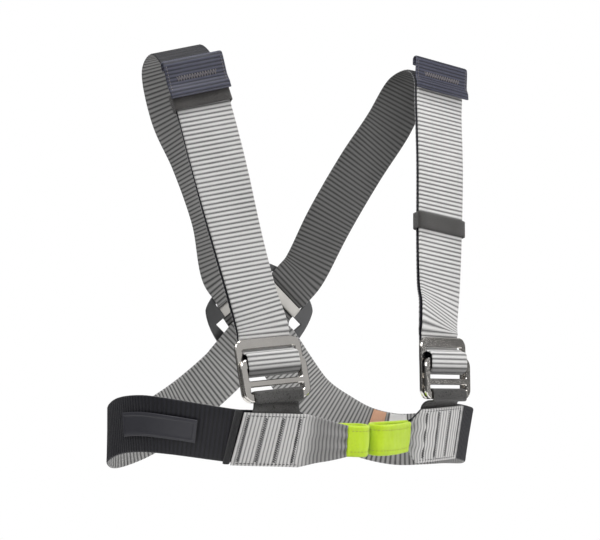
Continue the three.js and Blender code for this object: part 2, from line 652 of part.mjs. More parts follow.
// Cross-over plate: an oval with a slot for each strap and one opening where they come out.
function addPlate() {
  const angle = radians(CROSSING_ANGLE);
  const spot = (hand, along, beside) => new THREE.Vector2(
    hand * (along * Math.sin(angle) + beside * Math.cos(angle)),
    along * Math.cos(angle) - beside * Math.sin(angle) - PLATE_CROSSING,
  );
  const outline = Array.from({ length: 56 }, (_, index) => {
    const turn = (2 * Math.PI * index) / 56;
    const power = 2 / PLATE_ROUNDNESS;
    const [cos, sin] = [Math.cos(turn), Math.sin(turn)];
    return new THREE.Vector2(
      PLATE_HALF_WIDTH * Math.sign(cos) * Math.abs(cos) ** power,
      (sin > 0 ? PLATE_ABOVE : -PLATE_BELOW) * Math.abs(sin) ** power,
    );
  });
  const shape = new THREE.Shape(outline);
  const halfSlot = WEBBING_WIDTH / 2 + SLOT_PLAY;
  for (const hand of [-1, 1]) {
    shape.holes.push(new THREE.Path([
      spot(hand, SLOT_AT - SLOT_WIDTH / 2, -halfSlot),
      spot(hand, SLOT_AT + SLOT_WIDTH / 2, -halfSlot),
      spot(hand, SLOT_AT + SLOT_WIDTH / 2, halfSlot),
      spot(hand, SLOT_AT - SLOT_WIDTH / 2, halfSlot),
    ]));
  }
  const upper = SLOT_AT - SLOT_WIDTH / 2 - LIGHT_BAR;
  const apex = upper / Math.cos(angle) - PLATE_CROSSING;
  const foot = -OPENING_FOOT / Math.cos(angle) - PLATE_CROSSING;
  const wingUp = (upper - OPENING_FOOT) / (2 * Math.cos(angle)) - PLATE_CROSSING;
  const wingOut = (upper + OPENING_FOOT) / (2 * Math.sin(angle));
  shape.holes.push(new THREE.Path([
    new THREE.Vector2(0, apex),
    new THREE.Vector2(wingOut, wingUp),
    new THREE.Vector2(0, foot),
    new THREE.Vector2(-wingOut, wingUp),
  ]));
  const geometry = new THREE.ExtrudeGeometry(shape, { depth: PLATE_THICKNESS, bevelEnabled: false });
  geometry.translate(0, 0, -PLATE_THICKNESS / 2);
  geometry.applyMatrix4(plateAxes.matrix);
  addPiece('back_plate', geometry, 'rim');
}

// Trim that lies on the band between two distances across from the middle, `raise` over it and
// `aside` from the middle of its width, on the outer face in front and the inner face behind.
function trimRun(band, from, to, raise, width, aside = 0) {
  const isBehind = raise < 0;
  const covered = raised(band, raise, aside).filter((each, index) => {
    const { x, y } = band[index].point;
    return y > 0 === isBehind && Math.abs(x) >= from && Math.abs(x) <= to;
  });
  return covered.map((each) => ({ ...each, width }));
}

function addTrim(bands) {
  const badgeRaise = WEBBING_THICKNESS / 2 + CLEARANCE + BADGE_THICKNESS / 2;
  const badge = trimRun(bands.right, 126, 159.9, badgeRaise + CLEARANCE, BADGE_HEIGHT);
  addPiece('badge', webbing(badge, { thickness: BADGE_THICKNESS }), 'rubber');
  const { far } = SIDES[0];
  const bindingRaise = WEBBING_THICKNESS / 2 + CLEARANCE + BINDING_THICKNESS / 2;
  const binding = [0, 1, 2].map((step) => {
    const reach = far - 2 * CLEARANCE - (BINDING_WIDTH * step) / 2;
    const strip = frontStation(reach, bindingRaise, WEBBING_WIDTH + 1);
    return { ...strip, skew: SIDES[0].skew };
  });
  addPiece('binding_strip', webbing(binding, { thickness: BINDING_THICKNESS }), 'dark');
  const labelRaise = -WEBBING_THICKNESS / 2 - CLEARANCE - LABEL_THICKNESS / 2;
  const label = trimRun(bands.left, 121, 140, labelRaise, LABEL_HEIGHT, LABEL_ASIDE);
  addPiece('care_label', webbing(label, { thickness: LABEL_THICKNESS }), 'label');
  const tab = trimRun(bands.left, 108, 121, labelRaise, LABEL_HEIGHT, LABEL_ASIDE);
  addPiece('label_tab', webbing(tab, { thickness: LABEL_THICKNESS }), 'orange');
}

for (const one of SIDES) {
  const path = strapPath(one);
  addShoulderStrap(one, path);
  addTail(one, tailPath(one, path));
  addKeeper(one, path);
  addBuckle(one);
  addAnchor(one);
}
// Each band carries on from the strap of the other shoulder.
const bands = { right: bandPath(SIDES[0], SIDES[1].layer), left: bandPath(SIDES[1], SIDES[0].layer) };
for (const one of SIDES) {
  addBand(one, bands[one.name]);
  addTieLoop(one);
  addPatch(one);
}
addPlate();
addTrim(bands);

export default harness;
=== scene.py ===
"""Visual model of a climbing chest harness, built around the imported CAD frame.

The straps are two continuous lengths of ribbed webbing, grey on one face and navy on the other. Their
routes repeat the named sizes of the part's source, in millimetres, and become meshes in metres.
"""

import logging
import math
from dataclasses import dataclass
from enum import Enum
from typing import Callable, Sequence

import bmesh
import bpy
import numpy as np
from mathutils import Matrix, Vector


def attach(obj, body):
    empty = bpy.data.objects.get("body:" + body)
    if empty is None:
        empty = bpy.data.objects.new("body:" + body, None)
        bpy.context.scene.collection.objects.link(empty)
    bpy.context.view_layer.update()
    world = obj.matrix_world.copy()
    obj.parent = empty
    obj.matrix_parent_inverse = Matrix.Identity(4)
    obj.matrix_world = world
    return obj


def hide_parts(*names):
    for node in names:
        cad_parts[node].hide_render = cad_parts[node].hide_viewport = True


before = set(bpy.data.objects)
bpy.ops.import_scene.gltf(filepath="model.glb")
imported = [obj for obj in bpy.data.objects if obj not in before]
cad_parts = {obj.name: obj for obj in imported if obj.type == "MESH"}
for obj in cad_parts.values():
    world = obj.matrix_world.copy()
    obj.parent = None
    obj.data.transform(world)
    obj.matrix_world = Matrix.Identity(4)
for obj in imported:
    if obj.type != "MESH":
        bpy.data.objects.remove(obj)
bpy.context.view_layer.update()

log = logging.getLogger("harness")
Array = np.ndarray
METRES = 0.001
UP = np.array([0.0, 0.0, 1.0])

# Webbing
WEBBING_WIDTH = 45.0
WEBBING_THICKNESS = 2.0
CLEARANCE = 0.3
RIB_PITCH = 3.6
RIB_HEIGHT = 0.3
RIB_SAMPLES = 8

# The chest, measured to the middle of the webbing
CHEST_FRONT = 100.0
CHEST_BACK = 70.0
CHEST_SQUARENESS = 2.8
BAND_DROP = 307.0
BAND_SLOPE = 0.035
BAND_FRONT = 96.0

# Straps, tails and keepers
SHOULDER_SPREAD = 121.0
TAIL_PITCH = 2.9
TAIL_RISE = 3.6
END_WIDTH = 51.0
END_FLAP = 27.0
END_BACK_FLAP = 4.0
END_LIP = 2.8
KEEPER_HEIGHT = 14.0
KEEPER_WALL = 1.2
KEEPER_PLAY = 0.8

# Cross-over plate
PLATE_THICKNESS = 2.5
PLATE_DROP = 209.0
PLATE_BACK = 59.0
PLATE_TILT = 8.0
PLATE_CROSSING = 11.0
CROSSING_ANGLE = 40.0
SLOT_AT = 37.6
SLOT_WIDTH = 6.2
LIGHT_BAR = 8.5
OPENING_FOOT = 27.4
SLOT_PLAY = 0.4
LAYER_STAGGER = 3.0
OUTER_EXIT = -18.0
INNER_EXIT = (13.0, 23.0)
STRAP_ENTERS = 44.5
BAND_LEAVES = 45.0

# Buckles
BUCKLE_DROP = 253.0
BUCKLE_PLATE = 3.0
BUCKLE_GAP = 1.5
FRAME_TOP = 26.5
FRAME_TOP_BAR = 8.0
BUCKLE_FOOT = -23.5
FOOT_BAR = 6.5
SLIDER_TOP = 10.5
SLIDER_TOP_BAR = 7.5
WRAP_PAST = 1.0
STRAP_CONTROL = 9.0
TAIL_LEAVES = 4.0
ANCHOR_THICKNESS = 1.8
ANCHOR_WIDTH = 42.0
ANCHOR_PLAY = 0.8
ANCHOR_TUCK = 20.0
ANCHOR_BEND = 2.2
ANCHOR_FOOT_BEND = 1.6

# Tie-in loops, patches and trim
LOOP_HEIGHT = 25.0
LOOP_THICKNESS = 4.2
LOOP_EYE = 9.5
LOOP_TILT = -5.0
TILT_REACH = (10.0, 55.0)
LOOP_NARROWING = 16.0
PLEATS = 3
PLEAT_DEPTH = 1.1
BADGE_HEIGHT = 19.0
BADGE_THICKNESS = 1.6
BINDING_WIDTH = 5.0
BINDING_THICKNESS = 3.0
LABEL_HEIGHT = 17.0
LABEL_THICKNESS = 1.0
LABEL_ASIDE = -13.5

# Nearest and farthest reach of the trim from the chest's middle
BADGE_RUN = (126, 159.9)
LABEL_RUN = (121, 140)
LABEL_TAB_RUN = (108, 121)

# Stations on the routes
CROSSING_STEP = 1.7
STRAP_STEPS = 76
BAND_STEPS = 70
FRONT_STEPS = 12
PLY_STEPS = 7
GATHER_STEPS = 9
FLAT_STEPS = 6
EYE_STEP = 9

# Sewing
THREAD_RADIUS = 0.3
THREAD_SIDES = 6
EDGE = 0.03

LAYER_PITCH = WEBBING_THICKNESS + CLEARANCE
NEAR_PLATE = PLATE_THICKNESS / 2 + WEBBING_THICKNESS / 2 + CLEARANCE
SLIDER_FRONT = 2 * BUCKLE_PLATE + BUCKLE_GAP
ROLL_FRONT = SLIDER_FRONT + CLEARANCE + WEBBING_THICKNESS / 2
TAIL_BEHIND = -CLEARANCE - WEBBING_THICKNESS / 2 - 0.2
MAIN_BEHIND = TAIL_BEHIND - TAIL_PITCH
ROLL_RADIUS = (ROLL_FRONT - MAIN_BEHIND) / 2
ROLL_FOOT = SLIDER_TOP - SLIDER_TOP_BAR + 1 - ROLL_RADIUS
ROLL_MIDDLE = (ROLL_FRONT + MAIN_BEHIND) / 2
ROLL_HEAD = SLIDER_TOP + CLEARANCE + WEBBING_THICKNESS + 0.5
TAIL_PASS = FRAME_TOP - FRAME_TOP_BAR - 1.5
ANCHOR_RAISE = WEBBING_THICKNESS / 2 + ANCHOR_PLAY + ANCHOR_THICKNESS / 2
PATCH_RAISE = ANCHOR_RAISE + ANCHOR_THICKNESS / 2 + ANCHOR_PLAY + WEBBING_THICKNESS / 2
TURN_RADIUS = (LOOP_THICKNESS + LOOP_EYE) / 2
SEATED_PLY = LOOP_THICKNESS + CLEARANCE


class Side(Enum):
    """The wearer's two sides, and the way that each lies along X."""

    RIGHT = -1
    LEFT = 1

    @property
    def label(self) -> str:
        """Name of the side in node names."""
        return self.name.lower()

    @property
    def other(self) -> "Side":
        """The opposite side."""
        return Side(-self.value)


@dataclass(frozen=True)
class SideSizes:
    """What differs between the two sides, in millimetres and degrees."""

    half: float
    tilt: float
    drift: float
    sag: float
    spread: float
    forward: float
    turn: float
    lean: float
    slant: float
    parting: float
    free: float
    stand_off: float
    keeper: float
    layer: int
    tip: float
    seam: float
    root: float
    near: float
    far: float
    skew: float


SIZES: dict[Side, SideSizes] = {
    Side.RIGHT: SideSizes(
        half=160, tilt=-20, drift=0, sag=0, spread=75.5, forward=96.5, turn=3, lean=13, slant=5,
        parting=33, free=24, stand_off=11, keeper=39.5, layer=1,
        tip=8, seam=-14, root=-39, near=-50, far=-101, skew=6,
    ),
    Side.LEFT: SideSizes(
        half=150, tilt=-10, drift=5.5, sag=6, spread=81, forward=101, turn=18, lean=4, slant=2,
        parting=24, free=26, stand_off=2, keeper=135, layer=0,
        tip=8.6, seam=48, root=50, near=58, far=104, skew=0,
    ),
}


@dataclass(frozen=True)
class StrapRow:
    """A section of a shoulder strap: shares of the named sizes, and the way its face looks."""

    wide: float
    deep: float
    drop: float
    sweep: float
    outward: float
    twist: float


FRONT_ROWS = (
    StrapRow(0.7, 0.8, 0.775, 14, 4.5, 8.5),
    StrapRow(0.774, 0.68, 0.59, 14, 3, 3),
    StrapRow(0.866, 0.526, 0.33, 16, 8, -5),
    StrapRow(0.935, 0.38, 0.135, 20, 8, -5),
    StrapRow(0.985, 0.28, 0.03, 48, 8, -5),
    StrapRow(1.0, 0.14, -0.004, 88, 9, -4),
)
BACK_ROWS = (
    StrapRow(0.97, 0.18, 0.043, 135, 10, 0),
    StrapRow(0.855, 0.4, 0.214, 160, 10, 0),
    StrapRow(0.669, 0.5, 0.39, 166, 8, 0),
    StrapRow(0.463, 0.656, 0.62, 167, 6, 0),
)


@dataclass(frozen=True)
class BandRow:
    """A section of the side leg and band: its turn round the chest and its drop on each side."""

    turn: float
    right: float
    left: float
    rise: float


BAND_ROWS = (
    BandRow(164, 0.935, 0.935, 3),
    BandRow(153, 0.985, 0.99, 0),
    BandRow(142, 1.015, 1.025, 0),
    BandRow(124, 1.03, 1.045, 0),
    BandRow(105, 1.008, 1.04, 0),
    BandRow(90, 0.98, 1.03, 0),
    BandRow(76, 0.965, 1.02, -4),
    BandRow(62, 0.967, 1.008, -10),
)


def unit(vector: Array) -> Array:
    """Returns the vector at length one."""
    return vector / np.linalg.norm(vector)


def smoothstep(value: float, low: float, high: float) -> float:
    """Returns 0 below low, 1 above high, and a smooth step between them."""
    share = min(max((value - low) / (high - low), 0.0), 1.0)
    return share * share * (3 - 2 * share)


@dataclass
class Station:
    """A place on the middle of a webbing, and the way that its outer face looks there."""

    point: Array
    face: Array
    width: float = WEBBING_WIDTH
    skew: float = 0.0
    bow: float = 0.0


@dataclass
class Axes:
    """Local axes of a flat piece: across and upward lie in its face, outward leaves the wearer."""

    origin: Array
    out: Array
    up: Array

    def __post_init__(self) -> None:
        """Makes the three axes square to each other."""
        self.outward = unit(self.out)
        self.across = unit(np.cross(self.up, self.outward))
        self.upward = np.cross(self.outward, self.across)

    def facing(self, w: float, v: float, n: float) -> Array:
        """Returns a direction from its local parts."""
        return self.across * w + self.upward * v + self.outward * n

    def at(self, w: float, v: float, n: float) -> Array:
        """Returns a place from its local parts."""
        return self.origin + self.facing(w, v, n)


def catmull_rom(values: Sequence[Array], share: float) -> Array:
    """Returns a place on a centripetal curve through some values.

    Args:
        values: The values that the curve passes through, in order.
        share: How far along, counted in values, from 0 to 1.

    Returns:
        The value there.
    """
    last = len(values) - 1
    index = min(int(math.floor(last * share)), last - 1)
    weight = last * share - index
    p1, p2 = values[index], values[index + 1]
    p0 = values[index - 1] if index > 0 else 2 * p1 - p2
    p3 = values[index + 2] if index + 2 <= last else 2 * p2 - p1
    d0, d1, d2 = (max(np.linalg.norm(b - a), 1e-6) ** 0.5 for a, b in ((p0, p1), (p1, p2), (p2, p3)))
    t1 = ((p1 - p0) / d0 - (p2 - p0) / (d0 + d1) + (p2 - p1) / d1) * d1
    t2 = ((p2 - p1) / d1 - (p3 - p1) / (d1 + d2) + (p3 - p2) / d2) * d1
    c2 = -3 * p1 + 3 * p2 - 2 * t1 - t2
    c3 = 2 * p1 - 2 * p2 + t1 + t2
    return p1 + t1 * weight + c2 * weight**2 + c3 * weight**3


def smooth(chosen: Sequence[Station], count: int) -> list[Station]:
    """Returns a smooth run of count + 1 stations through the chosen ones."""
    points = [each.point for each in chosen]
    faces = [each.face for each in chosen]
    shares = [index / count for index in range(count + 1)]
    return [Station(catmull_rom(points, share), unit(catmull_rom(faces, share))) for share in shares]


def route(
    local: Axes,
    corners: Sequence[tuple[float, float, float]],
    face_left: bool = False,
    width: float = WEBBING_WIDTH,
    bend_step: float = 9.0,
) -> list[Station]:
    """Returns stations along a route with rounded corners in the middle plane of some axes.

    Args:
        local: The axes that the route lies in.
        corners: Height, distance out and bend radius of each corner.
        face_left: Whether the outer face lies to the left of the route.
        width: Width of the webbing.
        bend_step: Most degrees between stations in a bend.

    Returns:
        The stations in order.
    """
    flat = [np.array(corner[:2], float) for corner in corners]
    hand = 1 if face_left else -1
    stations: list[Station] = []

    def add(spot: Array, along: Array) -> None:
        """Adds a station at a flat spot."""
        face = unit(local.facing(0, -hand * along[1], hand * along[0]))
        stations.append(Station(local.at(0, spot[0], spot[1]), face, width))

    def spun(vector: Array, angle: float) -> Array:
        """Returns a flat vector turned by an angle."""
        cos, sin = math.cos(angle), math.sin(angle)
        return np.array([vector[0] * cos - vector[1] * sin, vector[0] * sin + vector[1] * cos])

    headings = [unit(b - a) for a, b in zip(flat, flat[1:])]
    add(flat[0], headings[0])
    for index in range(1, len(flat) - 1):
        before, after = headings[index - 1], headings[index]
        turning = math.atan2(before[0] * after[1] - before[1] * after[0], float(before @ after))
        radius = corners[index][2]
        start = flat[index] - before * radius * math.tan(abs(turning) / 2)
        centre = start + np.array([-before[1], before[0]]) * math.copysign(radius, turning)
        steps = max(2, math.ceil(abs(turning) / math.radians(bend_step)))
        for step in range(steps + 1):
            angle = turning * step / steps
            add(centre + spun(start - centre, angle), spun(before, angle))
    add(flat[-1], headings[-1])
    return stations


def up_to(run: Sequence[Station], drop: float) -> list[Station]:
    """Returns the stations of a run up to a drop below the shoulders, ending just there."""
    past = next(index for index, each in enumerate(run) if each.point[2] > -drop)
    low, high = run[past - 1], run[past]
    share = (-drop - low.point[2]) / (high.point[2] - low.point[2])
    point = low.point + (high.point - low.point) * share
    return [*run[:past], Station(point, unit(low.face + (high.face - low.face) * share))]


def raised(stations: Sequence[Station], height: float, aside: float = 0.0) -> list[Station]:
    """Returns stations lifted off their faces by a height and moved across by aside."""
    lifted = []
    last = len(stations) - 1
    for index, each in enumerate(stations):
        along = unit(stations[min(index + 1, last)].point - stations[max(index - 1, 0)].point)
        side = unit(np.cross(each.face, along))
        out = np.cross(along, side)
        lifted.append(Station(each.point + out * height + side * aside, out, each.width))
    return lifted


def chest_station(side: Side, turn: float, drop: float, rise: float, lift: float = 0.0,
                  width: float = WEBBING_WIDTH) -> Station:
    """Returns a station on the chest.

    Args:
        side: The side of the chest.
        turn: From the front middle (0) round the side (90) to the back middle (180).
        drop: Distance below the shoulders.
        rise: How far the outer face tips upwards.
        lift: Distance off the chest's own surface.
        width: Width of the webbing there.

    Returns:
        The station.
    """
    angle = math.radians(turn)
    power = 2 / CHEST_SQUARENESS
    depth = CHEST_FRONT if turn < 90 else CHEST_BACK
    beside, ahead = abs(math.sin(angle)), abs(math.cos(angle))
    forward = -math.copysign(1, math.cos(angle))
    half = SIZES[side].half
    point = np.array([side.value * half * beside**power, forward * depth * ahead**power, -drop])
    across = side.value * beside ** (2 - power) / half
    face = unit(np.array([across, forward * ahead ** (2 - power) / depth, 0]))
    face = face * math.cos(math.radians(rise)) + UP * math.sin(math.radians(rise))
    return Station(point + face * lift, face, width)


def front_station(reach: float, lift: float = 0.0, width: float = WEBBING_WIDTH) -> Station:
    """Returns a station on the front of the chest, reach across from its middle."""
    side = Side.LEFT if reach >= 0 else Side.RIGHT
    share = abs(reach) / SIZES[side].half
    turn = math.degrees(math.asin(share ** (CHEST_SQUARENESS / 2)))
    aside = smoothstep(abs(reach), *TILT_REACH)
    tilt = LOOP_TILT + (SIZES[side].tilt - LOOP_TILT) * aside
    return chest_station(side, turn, BAND_DROP - BAND_SLOPE * abs(reach), tilt, lift, width)


def strap_station(side: Side, row: StrapRow, depth: float, height: float) -> Station:
    """Returns the station of one row of a shoulder strap's table."""
    sizes = SIZES[side]
    sweep = math.radians(row.sweep)
    lean = math.tan(math.radians(row.outward + side.value * row.twist))
    face = unit(np.array([side.value * lean, -math.cos(sweep), math.sin(sweep)]))
    z = -row.drop * height - sizes.sag * (1 - max(row.drop, 0)) ** 2
    x = side.value * (row.wide * SHOULDER_SPREAD + (sizes.drift * row.drop if depth < 0 else 0))
    return Station(np.array([x, row.deep * depth, z]), face)


def buckle_axes(side: Side) -> Axes:
    """Returns the axes of a side's buckle."""
    sizes = SIZES[side]
    turn, lean, slant = (math.radians(each) for each in (sizes.turn, sizes.lean, sizes.slant))
    out = np.array([side.value * math.sin(turn), -math.cos(turn), 0]) * math.cos(lean) + UP * math.sin(lean)
    up = np.array([side.value * math.sin(slant), 0, math.cos(slant)])
    return Axes(np.array([side.value * sizes.spread, -sizes.forward, -BUCKLE_DROP]), out, up)


PLATE_AXES = Axes(
    np.array([0, PLATE_BACK, -PLATE_DROP]),
    np.array([0, math.cos(math.radians(PLATE_TILT)), math.sin(math.radians(PLATE_TILT))]),
    UP,
)


def crossing_station(side: Side, along: float, n: float) -> Station:
    """Returns a station on the slanting line on which a strap crosses the plate."""
    angle = math.radians(CROSSING_ANGLE)
    point = PLATE_AXES.at(-side.value * along * math.sin(angle), along * math.cos(angle) - PLATE_CROSSING, n)
    return Station(point, PLATE_AXES.outward)


def weave_height(layer: int, along: float) -> float:
    """Returns how far a strap lies off the plate's middle as it weaves through."""
    behind = NEAR_PLATE + layer * LAYER_PITCH
    before = -NEAR_PLATE - (1 - layer) * LAYER_PITCH
    slot_foot = SLOT_AT - SLOT_WIDTH / 2
    goes_in = 1 - smoothstep(along, slot_foot - layer * LAYER_STAGGER, slot_foot + SLOT_WIDTH + SLOT_PLAY)
    if layer == 1:
        comes_out = 1 - smoothstep(along, -OPENING_FOOT - SLOT_PLAY, OUTER_EXIT)
    else:
        comes_out = 1 - smoothstep(along, *INNER_EXIT)
    return -NEAR_PLATE + (behind + NEAR_PLATE) * goes_in + (before - behind) * comes_out


def crossing_run(side: Side, layer: int, start: float, end: float) -> list[Station]:
    """Returns the stations of a strap between two places on its way over the plate."""
    count = math.ceil(abs(end - start) / CROSSING_STEP)
    places = [start + (end - start) * index / count for index in range(count + 1)]
    return [crossing_station(side, along, weave_height(layer, along)) for along in places]


def strap_path(side: Side) -> tuple[list[Station], list[Station]]:
    """Returns a strap's wrap round the slider and its run up to the plate."""
    local = buckle_axes(side)
    wrap = route(local, [
        (ROLL_FOOT, ROLL_MIDDLE - CLEARANCE, 0),
        (ROLL_FOOT, MAIN_BEHIND, ROLL_RADIUS - 2 * CLEARANCE),
        (FRAME_TOP + WRAP_PAST, MAIN_BEHIND, 0),
    ], face_left=True)
    chosen = [
        wrap[-1],
        Station(local.at(0, FRAME_TOP + STRAP_CONTROL, MAIN_BEHIND), local.outward),
        *(strap_station(side, row, -CHEST_FRONT, BUCKLE_DROP) for row in FRONT_ROWS),
        *(strap_station(side, row, PLATE_BACK, PLATE_DROP) for row in BACK_ROWS),
        crossing_station(side, STRAP_ENTERS + 15.5, -NEAR_PLATE),
        crossing_station(side, STRAP_ENTERS + 2.5, -NEAR_PLATE),
    ]
    return wrap, smooth(chosen, STRAP_STEPS)


def tail_path(side: Side, run: Sequence[Station]) -> tuple[list[Station], Array, Array]:
    """Returns a tail's stations, and the direction and outer face of its end."""
    sizes = SIZES[side]
    local = buckle_axes(side)
    wrap = route(local, [
        (ROLL_FOOT, ROLL_MIDDLE + CLEARANCE, 0),
        (ROLL_FOOT, ROLL_FRONT, ROLL_RADIUS - 2 * CLEARANCE),
        (ROLL_HEAD, ROLL_FRONT, 3.8),
        (TAIL_PASS, TAIL_BEHIND, 1),
        (FRAME_TOP + WRAP_PAST, TAIL_BEHIND, 0),
    ], face_left=True)
    leaves = wrap[-1].point[2] + TAIL_LEAVES
    lying = [each for each in raised(up_to(run, sizes.parting), TAIL_RISE) if each.point[2] > leaves]
    end, before = lying[-1], lying[-2]
    beside = unit(np.cross(end.face, end.point - before.point))
    turn = Matrix.Rotation(-math.radians(sizes.stand_off), 3, Vector(beside))
    along = np.array(turn @ Vector(unit(end.point - before.point)))
    face = unit(np.cross(along, beside))
    standing = [Station(end.point + along * sizes.free * share, face) for share in (0.35, 0.7, 1)]
    return [*wrap, *lying, *standing], along, face


def band_path(side: Side) -> list[Station]:
    """Returns the stations of a side's leg and chest band, from the crossing to the tie-in loop."""
    sizes = SIZES[side]
    layer = SIZES[side.other].layer
    level = -NEAR_PLATE - (1 - layer) * LAYER_PITCH
    chosen = [
        crossing_station(side.other, -BAND_LEAVES - 1, level),
        crossing_station(side.other, -BAND_LEAVES - 8, level),
        *(chest_station(side, row.turn, getattr(row, side.label) * BAND_DROP, row.rise) for row in BAND_ROWS),
        front_station(side.value * (BAND_FRONT + 6)),
        front_station(side.value * BAND_FRONT),
    ]
    edge = side.value * BAND_FRONT
    front = []
    for index in range(1, FRONT_STEPS + 1):
        reach = edge + (sizes.root - edge) * index / FRONT_STEPS
        spread = smoothstep(abs(reach - sizes.root), 0, LOOP_NARROWING)
        front.append(front_station(reach, 0, LOOP_HEIGHT + (WEBBING_WIDTH - LOOP_HEIGHT) * spread))
    crossing = crossing_run(side.other, layer, -CLEARANCE / 2, -BAND_LEAVES)
    return [*crossing, *smooth(chosen, BAND_STEPS), *front]


def ply_raise(reach: float, root: float, tip_middle: float) -> float:
    """Returns the height of a loop's front ply over the band."""
    share = min(max((reach - root) / (tip_middle - root), 0), 1)
    return SEATED_PLY + (2 * TURN_RADIUS - SEATED_PLY) * math.sin(share * math.pi / 2) ** 1.2


def loop_path(side: Side) -> list[Station]:
    """Returns the stations of a tie-in loop, out along the band and back in front of it."""
    sizes = SIZES[side]
    towards = -side.value
    middle = sizes.tip - towards * (TURN_RADIUS + LOOP_THICKNESS / 2)
    start = sizes.root + towards * CLEARANCE
    back = []
    for index in range(PLY_STEPS + 1):
        back.append(front_station(start + (middle - start) * index / PLY_STEPS, 0, LOOP_HEIGHT))
    hub = front_station(middle, TURN_RADIUS)
    ahead = unit(np.cross(UP, hub.face) * -towards)
    if ahead[0] * towards < 0:
        ahead = -ahead
    bend = []
    for degrees in range(EYE_STEP, 180, EYE_STEP):
        angle = math.radians(degrees)
        spoke = hub.face * -math.cos(angle) + ahead * math.sin(angle)
        bend.append(Station(hub.point + spoke * TURN_RADIUS, -spoke, LOOP_HEIGHT))
    front = []
    for index in range(PLY_STEPS + 1):
        reach = middle + (sizes.seam - middle) * index / PLY_STEPS
        ply = front_station(reach, ply_raise(reach, sizes.root, middle), LOOP_HEIGHT)
        front.append(Station(ply.point, -ply.face, LOOP_HEIGHT))
    return [*back, *bend, *front]


def patch_path(side: Side) -> tuple[list[Station], float]:
    """Returns a front patch's stations and the share of them that is gathered."""
    sizes = SIZES[side]
    towards = -side.value
    middle = sizes.tip - towards * (TURN_RADIUS + LOOP_THICKNESS / 2)
    start = sizes.seam - towards * CLEARANCE
    gather = []
    for index in range(GATHER_STEPS):
        share = index / GATHER_STEPS
        reach = start + (sizes.near - start) * share
        height = ply_raise(reach, sizes.root, middle)
        height = max(height + (PATCH_RAISE - height) * smoothstep(share, 0, 1), height)
        gather.append(front_station(reach, height, LOOP_HEIGHT + (WEBBING_WIDTH - LOOP_HEIGHT) * share))
    flat = []
    for index in range(FLAT_STEPS + 1):
        share = index / FLAT_STEPS
        each = front_station(sizes.near + (sizes.far - sizes.near) * share, PATCH_RAISE)
        each.skew = sizes.skew * share
        flat.append(each)
    return [*gather, *flat], GATHER_STEPS / (GATHER_STEPS + FLAT_STEPS)


def anchor_path(side: Side) -> list[Station]:
    """Returns the stations of a buckle's anchor tab, round its foot bars and down under the patch."""
    sizes = SIZES[side]
    local = buckle_axes(side)
    half = ANCHOR_THICKNESS / 2
    crown = BUCKLE_FOOT + FOOT_BAR + CLEARANCE + half
    rear, front = -CLEARANCE - half, SLIDER_FRONT + CLEARANCE + half
    under = BUCKLE_FOOT - CLEARANCE - half
    around = route(local, [
        (BUCKLE_FOOT + 1, rear, 0),
        (crown, rear, ANCHOR_BEND),
        (crown, front, ANCHOR_BEND),
        (under, front, ANCHOR_FOOT_BEND),
        (under, 2, 0),
    ], width=ANCHOR_WIDTH)
    foot = side.value * (sizes.spread + BUCKLE_FOOT * math.sin(math.radians(sizes.slant)))
    base = front_station(foot)
    ends = [front_station(foot + end * ANCHOR_WIDTH / 2).point for end in (-1, 1)]
    chord = unit(ends[1] - ends[0])
    out = unit(base.face - chord * (base.face @ chord))
    stack = Axes(base.point, out, np.cross(out, chord))
    bow = float((base.point - ends[0]) @ out)
    top = WEBBING_WIDTH / 2
    leg = [
        Station(stack.at(0, v, ANCHOR_RAISE), stack.outward, ANCHOR_WIDTH, bow=bow)
        for v in (top + 0.5, top - 2.5, top - ANCHOR_TUCK)
    ]
    return [*around, *leg]


